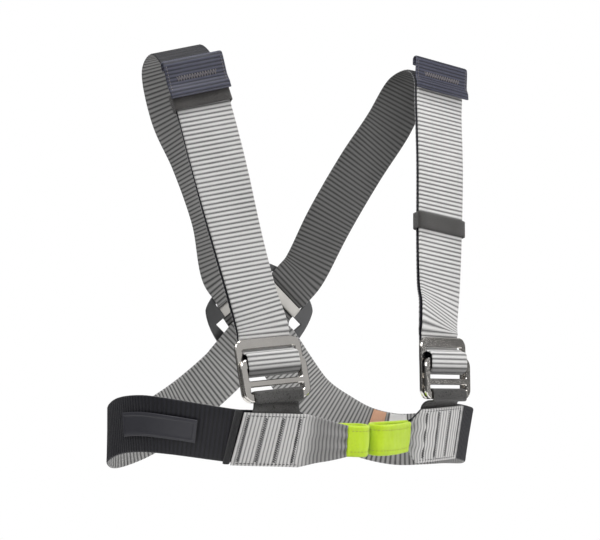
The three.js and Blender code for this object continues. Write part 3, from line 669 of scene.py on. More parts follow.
class Ribbon:
    """A band of cloth of even steps through some stations, from which meshes and stitches take places."""

    SPACING = 0.25

    def __init__(
        self,
        stations: Sequence[Station],
        step: float,
        flipped: Sequence[bool] | None = None,
    ) -> None:
        """Resamples the stations by length.

        Args:
            stations: The stations, in order.
            step: Wanted distance between samples.
            flipped: Whether each station's face is the ribbon's inner one.
        """
        kept = [0]
        for index in range(1, len(stations)):
            if np.linalg.norm(stations[index].point - stations[kept[-1]].point) > self.SPACING:
                kept.append(index)
        sign = [-1.0 if flipped and flipped[index] else 1.0 for index in kept]
        chosen = [stations[index] for index in kept]
        points = np.array([each.point for each in chosen])
        faces = np.array([each.face * way for each, way in zip(chosen, sign)])
        plain = np.array([[each.width, each.skew, each.bow] for each in chosen])
        knots = np.concatenate([[0], np.cumsum(np.linalg.norm(np.diff(points, axis=0), axis=1))])
        self.length = float(knots[-1])
        self.count = max(int(round(self.length / step)), 2)
        self.s = np.linspace(0, self.length, self.count + 1)
        self.points = self._spread(knots, points)
        faces = self._spread(knots, faces)
        self.width, self.skew, self.bow = (np.interp(self.s, knots, plain[:, each]) for each in range(3))
        along = np.gradient(self.points, axis=0)
        self.along = along / np.linalg.norm(along, axis=1)[:, None]
        side = np.cross(faces, self.along)
        side = self._eased(side / np.linalg.norm(side, axis=1)[:, None], step)
        side = side - self.along * np.sum(side * self.along, axis=1)[:, None] * 0.5
        self.side = side / np.linalg.norm(side, axis=1)[:, None]
        out = np.cross(self.along, self.side)
        self.out = out / np.linalg.norm(out, axis=1)[:, None]

    def _eased(self, values: Array, step: float, reach: float = 26.0) -> Array:
        """Returns directions averaged over their neighbours, so that ribs fan out evenly."""
        half = min(int(reach / step), (self.count - 1) // 4)
        if half < 2:
            return values
        weights = np.hanning(2 * half + 3)[1:-1]
        weights = weights / weights.sum()
        padded = np.pad(values, ((half, half), (0, 0)), mode="edge")
        return np.stack([np.convolve(padded[:, axis], weights, mode="valid") for axis in range(3)], axis=1)

    def _spread(self, knots: Array, values: Array) -> Array:
        """Returns the values at the even samples, on a smooth curve through the knots."""
        steps = np.diff(knots)
        slopes = np.diff(values, axis=0) / steps[:, None]
        tangents = np.vstack([slopes[:1], slopes[-1:]])
        if len(slopes) > 1:
            weight = (steps[:-1] / (steps[:-1] + steps[1:]))[:, None]
            inner = slopes[:-1] * (1 - weight) + slopes[1:] * weight
            tangents = np.vstack([slopes[:1], inner, slopes[-1:]])
        index = np.clip(np.searchsorted(knots, self.s, side="right") - 1, 0, len(steps) - 1)
        h = steps[index][:, None]
        t = (self.s[:, None] - knots[index][:, None]) / h
        start, end = values[index], values[index + 1]
        m0, m1 = tangents[index] * h, tangents[index + 1] * h
        return (
            (2 * t**3 - 3 * t**2 + 1) * start + (t**3 - 2 * t**2 + t) * m0
            + (3 * t**2 - 2 * t**3) * end + (t**3 - t**2) * m1
        )

    def nearest(self, place: Array) -> float:
        """Returns the distance along at which the ribbon comes nearest to a place."""
        return float(self.s[int(np.argmin(np.linalg.norm(self.points - place, axis=1)))])

    def place(self, s: float, over: float, lift: float = 0.0) -> tuple[Array, Array]:
        """Returns a place on the ribbon and the way its face looks there.

        Args:
            s: Distance along.
            over: Share of the width, from 0 to 1.
            lift: Distance off the middle surface.

        Returns:
            The place and the face's direction.
        """
        def read(values: Array) -> Array:
            """Returns a row of values between two samples."""
            where = np.clip(s / self.length, 0, 1) * self.count
            index = min(int(where), self.count - 1)
            return values[index] + (values[index + 1] - values[index]) * (where - index)

        out = unit(read(self.out))
        width, skew, bow = (float(read(each[:, None])[0]) for each in (self.width, self.skew, self.bow))
        across = over - 0.5
        point = read(self.points) + read(self.side) * across * width + read(self.along) * across * skew
        return point + out * (lift - bow * (2 * over - 1) ** 2), out


@dataclass(frozen=True)
class Section:
    """Cross-section of a band: shares of the width with the share of the full thickness at each."""

    overs: tuple[float, ...]
    levels: tuple[float, ...]

    @staticmethod
    def rimmed(across: int, *rim: tuple[float, float]) -> "Section":
        """Returns a section with the same rim on both edges and its full thickness between them.

        Args:
            across: Steps between the two rims.
            rim: Share of the width and of the thickness at each place, from the edge inwards.

        Returns:
            The section.
        """
        edge = rim[-1][0]
        inner = [(edge + (1 - 2 * edge) * step / across, 1.0) for step in range(1, across)]
        rows = [*rim, *inner, *((1 - over, level) for over, level in reversed(rim))]
        return Section(tuple(each[0] for each in rows), tuple(each[1] for each in rows))

    @staticmethod
    def flat(across: int, edge: float = EDGE) -> "Section":
        """Returns a section with rounded edges, each a share of the whole."""
        return Section.rimmed(across, (0.0, 0.3), (edge * 0.35, 0.8), (edge, 1.0))


Relief = Callable[[float, float], float]


def show(name: str, data: bpy.types.ID) -> bpy.types.Object:
    """Returns a new object in the scene with some data."""
    made = bpy.data.objects.new(name, data)
    bpy.context.scene.collection.objects.link(made)
    return made


def ribbon_mesh(
    name: str,
    ribbon: Ribbon,
    thickness: float,
    section: Section,
    rib: float = 0.0,
    pitch: float = RIB_PITCH,
    swell: Relief | None = None,
    tone: Callable[[float], float] | None = None,
) -> bpy.types.Object:
    """Builds a closed band of cloth along a ribbon.

    Args:
        name: Name of the object.
        ribbon: The ribbon to follow.
        thickness: Full thickness, ribs included.
        section: Cross-section of the band.
        rib: Height of the ribs that run across it.
        pitch: Distance between ribs.
        swell: Lift of the middle surface, by share of the width and share of the length.
        tone: Painted shade of the cloth, as brightness by distance along.

    Returns:
        The object, with material 0 on the outer face and 1 on the inner one.
    """
    overs = np.array(section.overs)
    levels = np.array(section.levels)
    wave = np.abs(np.cos(np.pi * ribbon.s / pitch)) ** 1.1
    core = thickness / 2 - rib
    fade = levels**2
    rows = len(overs)
    rings = ribbon.count + 1
    points = []
    uvs = []
    for face in (1.0, -1.0):
        order = slice(None) if face > 0 else slice(None, None, -1)
        over, level, soft = overs[order], levels[order], fade[order]
        across = (over - 0.5)[None, :, None]
        spot = ribbon.points[:, None, :] + ribbon.side[:, None, :] * across * ribbon.width[:, None, None]
        spot = spot + ribbon.along[:, None, :] * across * ribbon.skew[:, None, None]
        height = face * level[None, :] * (core + rib * wave[:, None] * soft[None, :])
        height = height - ribbon.bow[:, None] * (2 * over[None, :] - 1) ** 2
        if swell:
            lifts = [[swell(float(o), s / ribbon.length) for o in over] for s in ribbon.s]
            height = height + np.array(lifts)
        points.append(spot + ribbon.out[:, None, :] * height[:, :, None])
        share = over[None, :] * ribbon.width[:, None] / WEBBING_WIDTH
        uvs.append(np.stack(np.broadcast_arrays(share, ribbon.s[:, None] / pitch), axis=-1))
    ring = np.concatenate(points, axis=1)
    ring_uv = np.concatenate(uvs, axis=1)
    size = 2 * rows
    index = np.arange(rings * size).reshape(rings, size)
    start, end = index[:-1], index[1:]
    faces: list[list[int]] = []
    slots: list[int] = []
    for column in range(size):
        after = (column + 1) % size
        quads = np.stack([start[:, column], end[:, column], end[:, after], start[:, after]], axis=1)
        faces += quads.tolist()
        slots += [0 if column < rows - 1 or column == size - 1 else 1] * len(quads)
    faces += [index[0].tolist(), index[-1][::-1].tolist()]
    slots += [0, 0]
    mesh = bpy.data.meshes.new(name)
    mesh.from_pydata((ring.reshape(-1, 3) * METRES).tolist(), [], faces)
    mesh.polygons.foreach_set("material_index", slots)
    mesh.polygons.foreach_set("use_smooth", [True] * len(faces))
    layer = mesh.uv_layers.new(name="cloth")
    corner = np.empty(len(mesh.loops), dtype=np.int32)
    mesh.loops.foreach_get("vertex_index", corner)
    layer.data.foreach_set("uv", ring_uv.reshape(-1, 2)[corner].astype(np.float32).ravel())
    # The tone attribute holds painted shade, which the webbing material multiplies into its colour.
    shade = mesh.attributes.new("tone", "FLOAT", "POINT")
    painted_levels = np.array([tone(float(s)) if tone else 1.0 for s in ribbon.s])
    shade.data.foreach_set("value", np.repeat(painted_levels, size).astype(np.float32))
    mesh.validate()
    turn_outwards(mesh)
    return show(name, mesh)


def turn_outwards(mesh: bpy.types.Mesh) -> None:
    """Turns all faces of a closed mesh outwards."""
    work = bmesh.new()
    work.from_mesh(mesh)
    bmesh.ops.recalc_face_normals(work, faces=work.faces)
    work.to_mesh(mesh)
    work.free()


Stitch = tuple[Array, Array, Array]


def stitch_mesh(name: str, stitches: Sequence[Stitch], radius: float = THREAD_RADIUS) -> bpy.types.Object:
    """Builds threads, each a small rounded bar that dips into the cloth at both ends.

    Args:
        name: Name of the object.
        stitches: Start, end and face direction of each thread.
        radius: Half the thread's thickness.

    Returns:
        The object.
    """
    points: list[Array] = []
    faces: list[list[int]] = []
    rings = ((0.0, 0.5, -0.5), (0.2, 1.0, 0.2), (0.8, 1.0, 0.2), (1.0, 0.5, -0.5))
    sides = THREAD_SIDES
    for start, end, face in stitches:
        along = unit(end - start)
        side = unit(np.cross(face, along))
        base = len(points)
        for share, size, lift in rings:
            middle = start + (end - start) * share + face * lift * radius
            for turn in range(sides):
                angle = 2 * math.pi * turn / sides
                spoke = side * math.cos(angle) + face * math.sin(angle)
                points.append(middle + spoke * radius * size)
        for ring in range(len(rings) - 1):
            for turn in range(sides):
                a = base + ring * sides + turn
                b = base + ring * sides + (turn + 1) % sides
                faces.append([a, b, b + sides, a + sides])
        faces.append([base + turn for turn in reversed(range(sides))])
        faces.append([len(points) - sides + turn for turn in range(sides)])
    mesh = bpy.data.meshes.new(name)
    mesh.from_pydata([tuple(point * METRES) for point in points], [], faces)
    mesh.polygons.foreach_set("use_smooth", [True] * len(faces))
    turn_outwards(mesh)
    return show(name, mesh)


def zigzag(ribbon: Ribbon, line: Sequence[tuple[float, float]], lift: float, wide: float,
           pitch: float) -> list[Stitch]:
    """Returns the threads of a zigzag row between two places on a ribbon.

    Args:
        ribbon: The ribbon that is sewn.
        line: Distance along and share of the width of the row's two ends.
        lift: Height of the thread over the ribbon's middle.
        wide: Width of the zigzag.
        pitch: Distance between its points.

    Returns:
        The threads.
    """
    (s0, o0), (s1, o1) = line
    a, face = ribbon.place(s0, o0, lift)
    b, _ = ribbon.place(s1, o1, lift)
    count = max(int(np.linalg.norm(b - a) / pitch), 2)
    beside = unit(np.cross(face, b - a))
    spots = []
    for index in range(count + 1):
        share = index / count
        point, look = ribbon.place(s0 + (s1 - s0) * share, o0 + (o1 - o0) * share, lift)
        spots.append((point + beside * wide * (0.5 if index % 2 else -0.5), look))
    return [(spots[index][0], spots[index + 1][0], spots[index][1]) for index in range(count)]


def running(ribbon: Ribbon, line: Sequence[tuple[float, float]], lift: float, length: float,
            gap: float) -> list[Stitch]:
    """Returns the threads of a straight row between two places on a ribbon.

    Args:
        ribbon: The ribbon that is sewn.
        line: Distance along and share of the width of the row's two ends.
        lift: Height of the thread over the ribbon's middle.
        length: Length of a stitch.
        gap: Space between stitches.

    Returns:
        The threads.
    """
    (s0, o0), (s1, o1) = line
    a, _ = ribbon.place(s0, o0, lift)
    b, _ = ribbon.place(s1, o1, lift)
    total = max(float(np.linalg.norm(b - a)), abs(s1 - s0))
    count = max(int(total / (length + gap)), 1)
    stitches = []
    for index in range(count):
        low, high = index / count, (index + length / (length + gap)) / count
        start, look = ribbon.place(s0 + (s1 - s0) * low, o0 + (o1 - o0) * low, lift)
        end, _ = ribbon.place(s0 + (s1 - s0) * high, o0 + (o1 - o0) * high, lift)
        stitches.append((start, end, look))
    return stitches


Colour = tuple[float, float, float]


class Graph:
    """A material's node tree, with short ways to make and join its nodes."""

    def __init__(self, name: str) -> None:
        """Makes a material with one shader."""
        self.material = bpy.data.materials.new(name)
        self.material.use_nodes = True
        self.tree = self.material.node_tree
        self.shader = self.tree.nodes["Principled BSDF"]

    def node(self, kind: str, **inputs: object) -> bpy.types.Node:
        """Makes a node and sets or joins its inputs.

        Args:
            kind: Blender's name for the node's type.
            inputs: Values or sockets by input name, with underscores for spaces.

        Returns:
            The node.
        """
        made = self.tree.nodes.new(kind)
        self.fill(made, **inputs)
        return made

    def fill(self, made: bpy.types.Node, **inputs: object) -> None:
        """Sets or joins the named inputs of a node."""
        for name, value in inputs.items():
            self.put(made.inputs[name.replace("_", " ")], value)

    def put(self, socket: bpy.types.NodeSocket, value: object) -> None:
        """Sets an input to a value, or joins it to a socket."""
        if isinstance(value, bpy.types.NodeSocket):
            self.tree.links.new(value, socket)
        else:
            socket.default_value = value

    def maths(self, operation: str, first: object, second: object = 0.0) -> bpy.types.NodeSocket:
        """Returns the result of an operation on one or two values."""
        made = self.tree.nodes.new("ShaderNodeMath")
        made.operation = operation
        self.put(made.inputs[0], first)
        self.put(made.inputs[1], second)
        return made.outputs[0]

    def times(self, first: object, second: object) -> bpy.types.NodeSocket:
        """Returns the product of two values."""
        return self.maths("MULTIPLY", first, second)

    def plus(self, first: object, second: object) -> bpy.types.NodeSocket:
        """Returns the sum of two values."""
        return self.maths("ADD", first, second)

    def ripple(self, place: object, turns: float) -> bpy.types.NodeSocket:
        """Returns a sine wave of so many turns over each unit of a coordinate."""
        return self.maths("SINE", self.times(place, 2 * math.pi * turns))

    def mixed(self, share: object, first: object, second: object, blend: str = "MIX") -> bpy.types.NodeSocket:
        """Returns a blend of two colours."""
        made = self.tree.nodes.new("ShaderNodeMix")
        made.data_type = "RGBA"
        made.blend_type = blend
        self.put(made.inputs[0], share)
        self.put(made.inputs[6], first)
        self.put(made.inputs[7], second)
        return made.outputs[2]

    def noise(self, scale: float, detail: float = 2.0) -> bpy.types.NodeSocket:
        """Returns fine or broad noise over the object's own coordinates."""
        where = self.node("ShaderNodeTexCoord").outputs["Object"]
        return self.node("ShaderNodeTexNoise", Vector=where, Scale=scale, Detail=detail).outputs["Fac"]

    def bump(self, height: bpy.types.NodeSocket, distance: float, strength: float = 1.0) -> None:
        """Gives the shader a bump of a height in metres."""
        made = self.node("ShaderNodeBump", Height=height, Distance=distance, Strength=strength)
        self.put(self.shader.inputs["Normal"], made.outputs["Normal"])

    def cloth_axes(self) -> tuple[bpy.types.NodeSocket, bpy.types.NodeSocket]:
        """Returns the two coordinates of a band of cloth: across its width, and along it in ribs."""
        mapped = self.tree.nodes.new("ShaderNodeUVMap")
        mapped.uv_map = "cloth"
        split = self.node("ShaderNodeSeparateXYZ", Vector=mapped.outputs["UV"])
        return split.outputs["X"], split.outputs["Y"]


@dataclass(frozen=True)
class WebbingFinish:
    """Ribbed webbing: light ridges, grooves painted darker as shade, and the fine yarns that cross them."""

    name: str
    ridge: Colour
    painted_groove_shade: Colour
    roughness: float
    sheen: float
    contrast: float = 1.12
    yarns_across: float = 38.0
    yarns_along: float = 4.0

    def make(self) -> bpy.types.Material:
        """Returns the finished material."""
        graph = Graph(self.name)
        across, along = graph.cloth_axes()
        wave = graph.maths("ABSOLUTE", graph.maths("COSINE", graph.times(along, math.pi)))
        ridge = graph.times(graph.maths("POWER", wave, 1.5), self.contrast)
        weave = graph.times(graph.ripple(across, self.yarns_across), graph.ripple(along, self.yarns_along))
        mottle = graph.noise(900.0, 3.0)
        broad = graph.noise(28.0)
        speck = graph.plus(graph.times(weave, 0.07), graph.times(mottle, 0.22))
        level = graph.plus(graph.maths("SUBTRACT", ridge, 0.11), speck)
        level = graph.plus(level, graph.times(graph.maths("SUBTRACT", broad, 0.5), 0.25))
        # Painted shade: the grooves between the ribs take the darker colour, and the ridges take the light
        # one.
        colour = graph.mixed(level, (*self.painted_groove_shade, 1), (*self.ridge, 1))
        # Painted shade: the tone attribute multiplies the colour darker where the webbing lies in shadow.
        tone = graph.node("ShaderNodeAttribute")
        tone.attribute_name = "tone"
        rough = graph.plus(self.roughness, graph.times(mottle, 0.15))
        graph.fill(
            graph.shader,
            Base_Color=graph.mixed(1.0, colour, tone.outputs["Fac"], "MULTIPLY"),
            Sheen_Weight=self.sheen,
            Sheen_Roughness=0.45,
            Specular_IOR_Level=0.35,
            Roughness=graph.maths("SUBTRACT", rough, 0.075),
        )
        graph.bump(graph.plus(graph.times(weave, 0.5), graph.times(mottle, 0.8)), 0.00018, 0.8)
        return graph.material


@dataclass(frozen=True)
class WovenFinish:
    """Plain close-woven cloth, tape or elastic, with fine crossing yarns."""

    name: str
    light: Colour
    dark: Colour
    roughness: float = 0.8
    sheen: float = 0.2
    yarns_across: float = 45.0
    yarns_along: float = 3.0
    depth: float = 0.00015

    def make(self) -> bpy.types.Material:
        """Returns the finished material."""
        graph = Graph(self.name)
        across, along = graph.cloth_axes()
        weave = graph.times(graph.ripple(across, self.yarns_across), graph.ripple(along, self.yarns_along))
        mottle = graph.noise(700.0, 3.0)
        broad = graph.noise(60.0)
        level = graph.plus(graph.times(weave, 0.25), mottle)
        level = graph.plus(level, graph.maths("SUBTRACT", broad, 0.5))
        graph.fill(
            graph.shader,
            Base_Color=graph.mixed(level, (*self.dark, 1), (*self.light, 1)),
            Sheen_Weight=self.sheen,
            Specular_IOR_Level=0.3,
            Roughness=graph.plus(self.roughness - 0.08, graph.times(mottle, 0.15)),
        )
        graph.bump(graph.plus(weave, graph.times(mottle, 0.8)), self.depth, 0.9)
        return graph.material


@dataclass(frozen=True)
class ThreadFinish:
    """Twisted sewing thread."""

    name: str
    colour: Colour

    def make(self) -> bpy.types.Material:
        """Returns the finished material."""
        graph = Graph(self.name)
        twist = graph.noise(2500.0, 1.0)
        dark = tuple(part * 0.55 for part in self.colour)
        colour = graph.mixed(twist, (*dark, 1), (*self.colour, 1))
        graph.fill(graph.shader, Base_Color=colour, Roughness=0.6, Sheen_Weight=0.3)
        graph.bump(twist, 0.0001, 0.6)
        return graph.material


@dataclass(frozen=True)
class HardFinish:
    """Polished metal, moulded plastic or rubber, with fine scratches, grain and worn tone."""

    name: str
    colour: Colour
    metallic: float
    roughness: float
    spread: float
    grain: float
    depth: float

    def make(self) -> bpy.types.Material:
        """Returns the finished material."""
        graph = Graph(self.name)
        fine = graph.noise(self.grain, 4.0)
        broad = graph.noise(70.0)
        dark = tuple(part * 0.8 for part in self.colour)
        colour = graph.mixed(broad, (*dark, 1), (*self.colour, 1))
        vary = graph.times(graph.maths("SUBTRACT", fine, 0.5), self.spread)
        graph.fill(graph.shader, Base_Color=colour, Metallic=self.metallic,
                   Roughness=graph.plus(self.roughness, vary))
        graph.bump(fine, self.depth, 0.5)
        return graph.material


class Finishes:
    """All finishes of the harness, made once."""

    def __init__(self) -> None:
        """Makes every material."""
        self.grey = WebbingFinish("webbing_grey", (0.80, 0.79, 0.78), (0.13, 0.13, 0.13), 0.72, 0.2).make()
        self.navy = WebbingFinish("webbing_navy", (0.016, 0.016, 0.026), (0.005, 0.005, 0.008),
                                  roughness=0.42, sheen=0.06).make()
        self.end = WebbingFinish("webbing_end", (0.050, 0.052, 0.080), (0.008, 0.008, 0.014),
                                 roughness=0.36, sheen=0.1).make()
        self.patch = WebbingFinish("webbing_patch", (0.56, 0.55, 0.54), (0.20, 0.20, 0.20),
                                   roughness=0.75, sheen=0.15, contrast=1.3).make()
        self.tab = WovenFinish("tab_satin", (0.085, 0.083, 0.080), (0.030, 0.029, 0.028), 0.3, 0.06).make()
        self.elastic = WovenFinish("elastic_dark", (0.050, 0.046, 0.043), (0.022, 0.020, 0.019),
                                   roughness=0.75, sheen=0.25).make()
        self.tape = WovenFinish("tape_black", (0.030, 0.030, 0.032), (0.010, 0.010, 0.011), 0.8, 0.2).make()
        self.lime = WovenFinish("sleeve_lime", (0.56, 0.78, 0.010), (0.42, 0.60, 0.007),
                                roughness=0.65, sheen=0.3, yarns_across=34.0, yarns_along=2.0).make()
        fine = {"roughness": 0.6, "sheen": 0.3, "yarns_across": 60.0, "yarns_along": 6.0}
        self.white = WovenFinish("label_white", (0.93, 0.92, 0.91), (0.86, 0.85, 0.84), **fine).make()
        self.orange = WovenFinish("label_orange", (0.86, 0.50, 0.33), (0.74, 0.40, 0.25), **fine).make()
        self.dark_thread = ThreadFinish("thread_dark", (0.020, 0.020, 0.024)).make()
        self.lime_thread = ThreadFinish("thread_lime", (0.42, 0.52, 0.02)).make()
        self.pale_thread = ThreadFinish("thread_pale", (0.16, 0.14, 0.14)).make()
        self.steel = HardFinish("buckle_steel", (0.78, 0.75, 0.71), 1.0, 0.14, 0.10, 350.0, 0.00002).make()
        self.rim = HardFinish("plate_rim", (0.060, 0.060, 0.063), 0.0, 0.42, 0.15, 1400.0, 0.00004).make()
        self.bar = HardFinish("plate_bar", (0.56, 0.54, 0.51), 0.0, 0.45, 0.12, 1400.0, 0.00003).make()
        self.rubber = HardFinish("badge_rubber", (0.030, 0.030, 0.038), 0.0, 0.48, 0.12, 1800.0,
                                 0.00004).make()


def dress(piece: bpy.types.Object, slot: str, *finishes: bpy.types.Material) -> bpy.types.Object:
    """Gives a piece its materials and its body.

    Args:
        piece: The piece.
        slot: Name of a material slot; not used.
        finishes: Its materials, by the index that its faces name.

    Returns:
        The piece.
    """
    for finish in finishes:
        piece.data.materials.append(finish)
    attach(piece, "root")
    log.info("%s: %d faces", piece.name, len(piece.data.polygons))
    return piece


@dataclass(frozen=True)
class PaintedShade:
    """Painted shade of a length of webbing, as brightness: in front, down the back, on the far side and on
    the roll.
    """

    front: float
    shoulder: float
    plate: float
    far: float = 0.5
    roll: float = 0.28


# Painted shade levels for each side: brightness that stands in for light and shadow on the webbing.
PAINTED_SHADE = {Side.LEFT: PaintedShade(0.76, 0.13, 0.19), Side.RIGHT: PaintedShade(0.66, 0.32, 0.36)}


@dataclass
class Strap:
    """One length of webbing: tail, roll, shoulder strap, side leg and chest band of the other side."""

    side: Side

    def stations(self) -> tuple[list[Station], list[bool]]:
        """Returns the whole length's stations, and where their faces are the grey ones."""
        wrap, run = strap_path(self.side)
        tail, _, _ = tail_path(self.side, run)
        layer = SIZES[self.side].layer
        strap = [*wrap, *run[1:], *crossing_run(self.side, layer, STRAP_ENTERS, CLEARANCE / 2)]
        band = band_path(self.side.other)
        return [*reversed(tail), *strap, *band], [True] * len(tail) + [False] * (len(strap) + len(band))

    def tone(self, ribbon: Ribbon) -> Callable[[float], float]:
        """Returns the painted shade along the cloth's length: the inner run over the back and the roll are
        painted darker.
        """
        painted_levels = PAINTED_SHADE[self.side]
        plate = ribbon.nearest(PLATE_AXES.at(0, -PLATE_CROSSING, 0))
        roll = ribbon.nearest(buckle_axes(self.side).at(0, ROLL_FOOT, ROLL_MIDDLE))
        crown = float(ribbon.s[int(np.argmax(np.where(ribbon.s > roll, ribbon.points[:, 2], -np.inf)))])

        def level(s: float) -> float:
            """Returns the painted shade, as brightness, at a distance along."""
            behind = smoothstep(s, crown - 30, crown + 10)
            back = painted_levels.shoulder + (painted_levels.plate - painted_levels.shoulder) * smoothstep(s, crown + 20, plate - 20)
            late = back + (painted_levels.far - back) * smoothstep(s, plate, plate + 60)
            rolled = smoothstep(s, roll - 12, roll - 6) * (1 - smoothstep(s, roll + 8, roll + 14))
            return (painted_levels.front + (late - painted_levels.front) * behind) * (1 - (1 - painted_levels.roll) * rolled)

        return level

    def build(self, finishes: Finishes) -> None:
        """Builds and dresses the webbing."""
        stations, flipped = self.stations()
        ribbon = Ribbon(stations, RIB_PITCH / RIB_SAMPLES, flipped)
        label, far = self.side.label, self.side.other.label
        piece = ribbon_mesh(f"strap_{label}", ribbon, WEBBING_THICKNESS, Section.flat(4), RIB_HEIGHT,
                            tone=self.tone(ribbon))
        dress(piece, "webbing_grey", finishes.navy, finishes.grey)
        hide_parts(f"shoulder_strap_{label}", f"tail_{label}", f"chest_band_{far}")


@dataclass
class TailEnd:
    """Folded stop on a tail: a navy flap with a bartack and a flared lower lip."""

    side: Side
    bartack: float = 15.0
    hem: float = 0.045

    def build(self, finishes: Finishes) -> None:
        """Builds and dresses the stop and its stitches."""
        _, run = strap_path(self.side)
        tail, along, face = tail_path(self.side, run)
        local = Axes(tail[-1].point, face, along)
        fold = LAYER_PITCH
        stations = route(local, [
            (-END_FLAP, fold + END_LIP, 0),
            (-END_FLAP * 0.82, fold + END_LIP * 0.9, 5),
            (-END_FLAP * 0.62, fold, 6),
            (CLEARANCE + fold, fold, fold - 0.05),
            (CLEARANCE + fold, -fold, fold - 0.05),
            (-END_BACK_FLAP, -fold, 0),
        ], True, END_WIDTH, 6.0)
        ribbon = Ribbon(stations, 0.5)
        label = self.side.label
        piece = ribbon_mesh(f"tail_stop_{label}", ribbon, WEBBING_THICKNESS, Section.flat(8), 0.3, 3.0)
        dress(piece, "webbing_navy", finishes.end, finishes.end)
        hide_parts(f"tail_end_{label}")
        lift = WEBBING_THICKNESS / 2 - 0.05
        rows = zigzag(ribbon, ((self.bartack, 0.17), (self.bartack, 0.83)), lift, 4.2, 1.1)
        for over in (self.hem, 1 - self.hem):
            rows += running(ribbon, ((6.0, over), (27.0, over)), lift, 1.3, 0.7)
        dress(stitch_mesh(f"tail_stop_stitches_{label}", rows, 0.28), "webbing_navy", finishes.pale_thread)


@dataclass
class Keeper:
    """Elastic band round a tail and its strap."""

    side: Side
    corner: float = 1.4

    def build(self, finishes: Finishes) -> None:
        """Builds and dresses the band."""
        drop = SIZES[self.side].keeper
        _, run = strap_path(self.side)
        here = up_to(run, drop)[-1]
        above, below = (up_to(run, drop + end * KEEPER_HEIGHT / 2)[-1].point for end in (-1, 1))
        local = Axes(here.point + here.face * TAIL_RISE / 2, here.face, above - below)
        deep = TAIL_RISE / 2 + WEBBING_THICKNESS / 2 + KEEPER_PLAY + KEEPER_WALL / 2
        wide = WEBBING_WIDTH / 2 + KEEPER_PLAY + KEEPER_WALL / 2
        corners = [(0, -deep), (wide, -deep), (wide, deep), (-wide, deep), (-wide, -deep), (0, -deep)]
        ribbon = Ribbon(self._around(local, corners), 0.6)
        section = Section.flat(6, 0.05)
        piece = ribbon_mesh(f"keeper_band_{self.side.label}", ribbon, KEEPER_WALL, section, 0.08, 1.3)
        dress(piece, "elastic_dark", finishes.elastic, finishes.elastic)
        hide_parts(f"keeper_{self.side.label}")

    def _around(self, local: Axes, corners: Sequence[tuple[float, float]]) -> list[Station]:
        """Returns the stations of a rounded loop that lies across the strap."""
        stations: list[Station] = []
        flat = [np.array(corner, float) for corner in corners]
        for index in range(len(flat) - 1):
            start, end = flat[index], flat[index + 1]
            heading = unit(end - start)
            first = self.corner if index else 0.0
            last = self.corner if index < len(flat) - 2 else 0.0
            length = float(np.linalg.norm(end - start))
            face = local.facing(heading[1], 0, -heading[0])
            for share in (0.0, 0.33, 0.67, 1.0):
                spot = start + heading * (first + (length - first - last) * share)
                stations.append(Station(local.at(spot[0], 0, spot[1]), face, KEEPER_HEIGHT))
            if index < len(flat) - 2:
                after = unit(flat[index + 2] - end)
                centre = end - heading * self.corner + after * self.corner
                for degrees in (22.5, 45, 67.5):
                    angle = math.radians(degrees)
                    spoke = heading * math.sin(angle) - after * math.cos(angle)
                    spot = centre + spoke * self.corner
                    face = local.facing(spoke[0], 0, spoke[1])
                    stations.append(Station(local.at(spot[0], 0, spot[1]), face, KEEPER_HEIGHT))
        return stations


def refined(node: str, name: str, bevel: float, segments: int) -> bpy.types.Object:
    """Returns a copy of a hard CAD node with its edges rounded.

    Args:
        node: Name of the node.
        name: Name of the copy.
        bevel: Width of the rounding, in millimetres.
        segments: Steps in the rounding.

    Returns:
        The copy, which replaces the node.
    """
    work = bmesh.new()
    work.from_mesh(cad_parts[node].data)
    bmesh.ops.remove_doubles(work, verts=work.verts, dist=1e-5)
    bmesh.ops.dissolve_limit(work, angle_limit=math.radians(1), verts=work.verts, edges=work.edges)
    mesh = bpy.data.meshes.new(name)
    work.to_mesh(mesh)
    work.free()
    if "custom_normal" in mesh.attributes:
        mesh.attributes.remove(mesh.attributes["custom_normal"])
    piece = show(name, mesh)
    rounding = piece.modifiers.new("rounding", "BEVEL")
    rounding.width = bevel * METRES
    rounding.segments = segments
    rounding.limit_method = "ANGLE"
    rounding.angle_limit = math.radians(20)
    rounding.use_clamp_overlap = True
    smoothing = piece.modifiers.new("smoothing", "WEIGHTED_NORMAL")
    smoothing.keep_sharp = False
    mesh.polygons.foreach_set("use_smooth", [True] * len(mesh.polygons))
    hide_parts(node)
    return piece


@dataclass
class Buckle:
    """Two nested plates of polished steel, and the dark tab that anchors them."""

    side: Side
    rounding: float = 0.35

    def build(self, finishes: Finishes) -> None:
        """Builds and dresses the plates and the tab."""
        label = self.side.label
        for plate in ("frame", "slider"):
            piece = refined(f"buckle_{plate}_{label}", f"buckle_{plate}_plate_{label}", self.rounding, 3)
            dress(piece, "buckle_metal", finishes.steel)
        ribbon = Ribbon(anchor_path(self.side), 0.8)
        tab = ribbon_mesh(f"anchor_tab_{label}", ribbon, ANCHOR_THICKNESS, Section.flat(10), 0.08, 1.3)
        dress(tab, "elastic_dark", finishes.tab, finishes.tab)
        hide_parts(f"buckle_anchor_{label}")


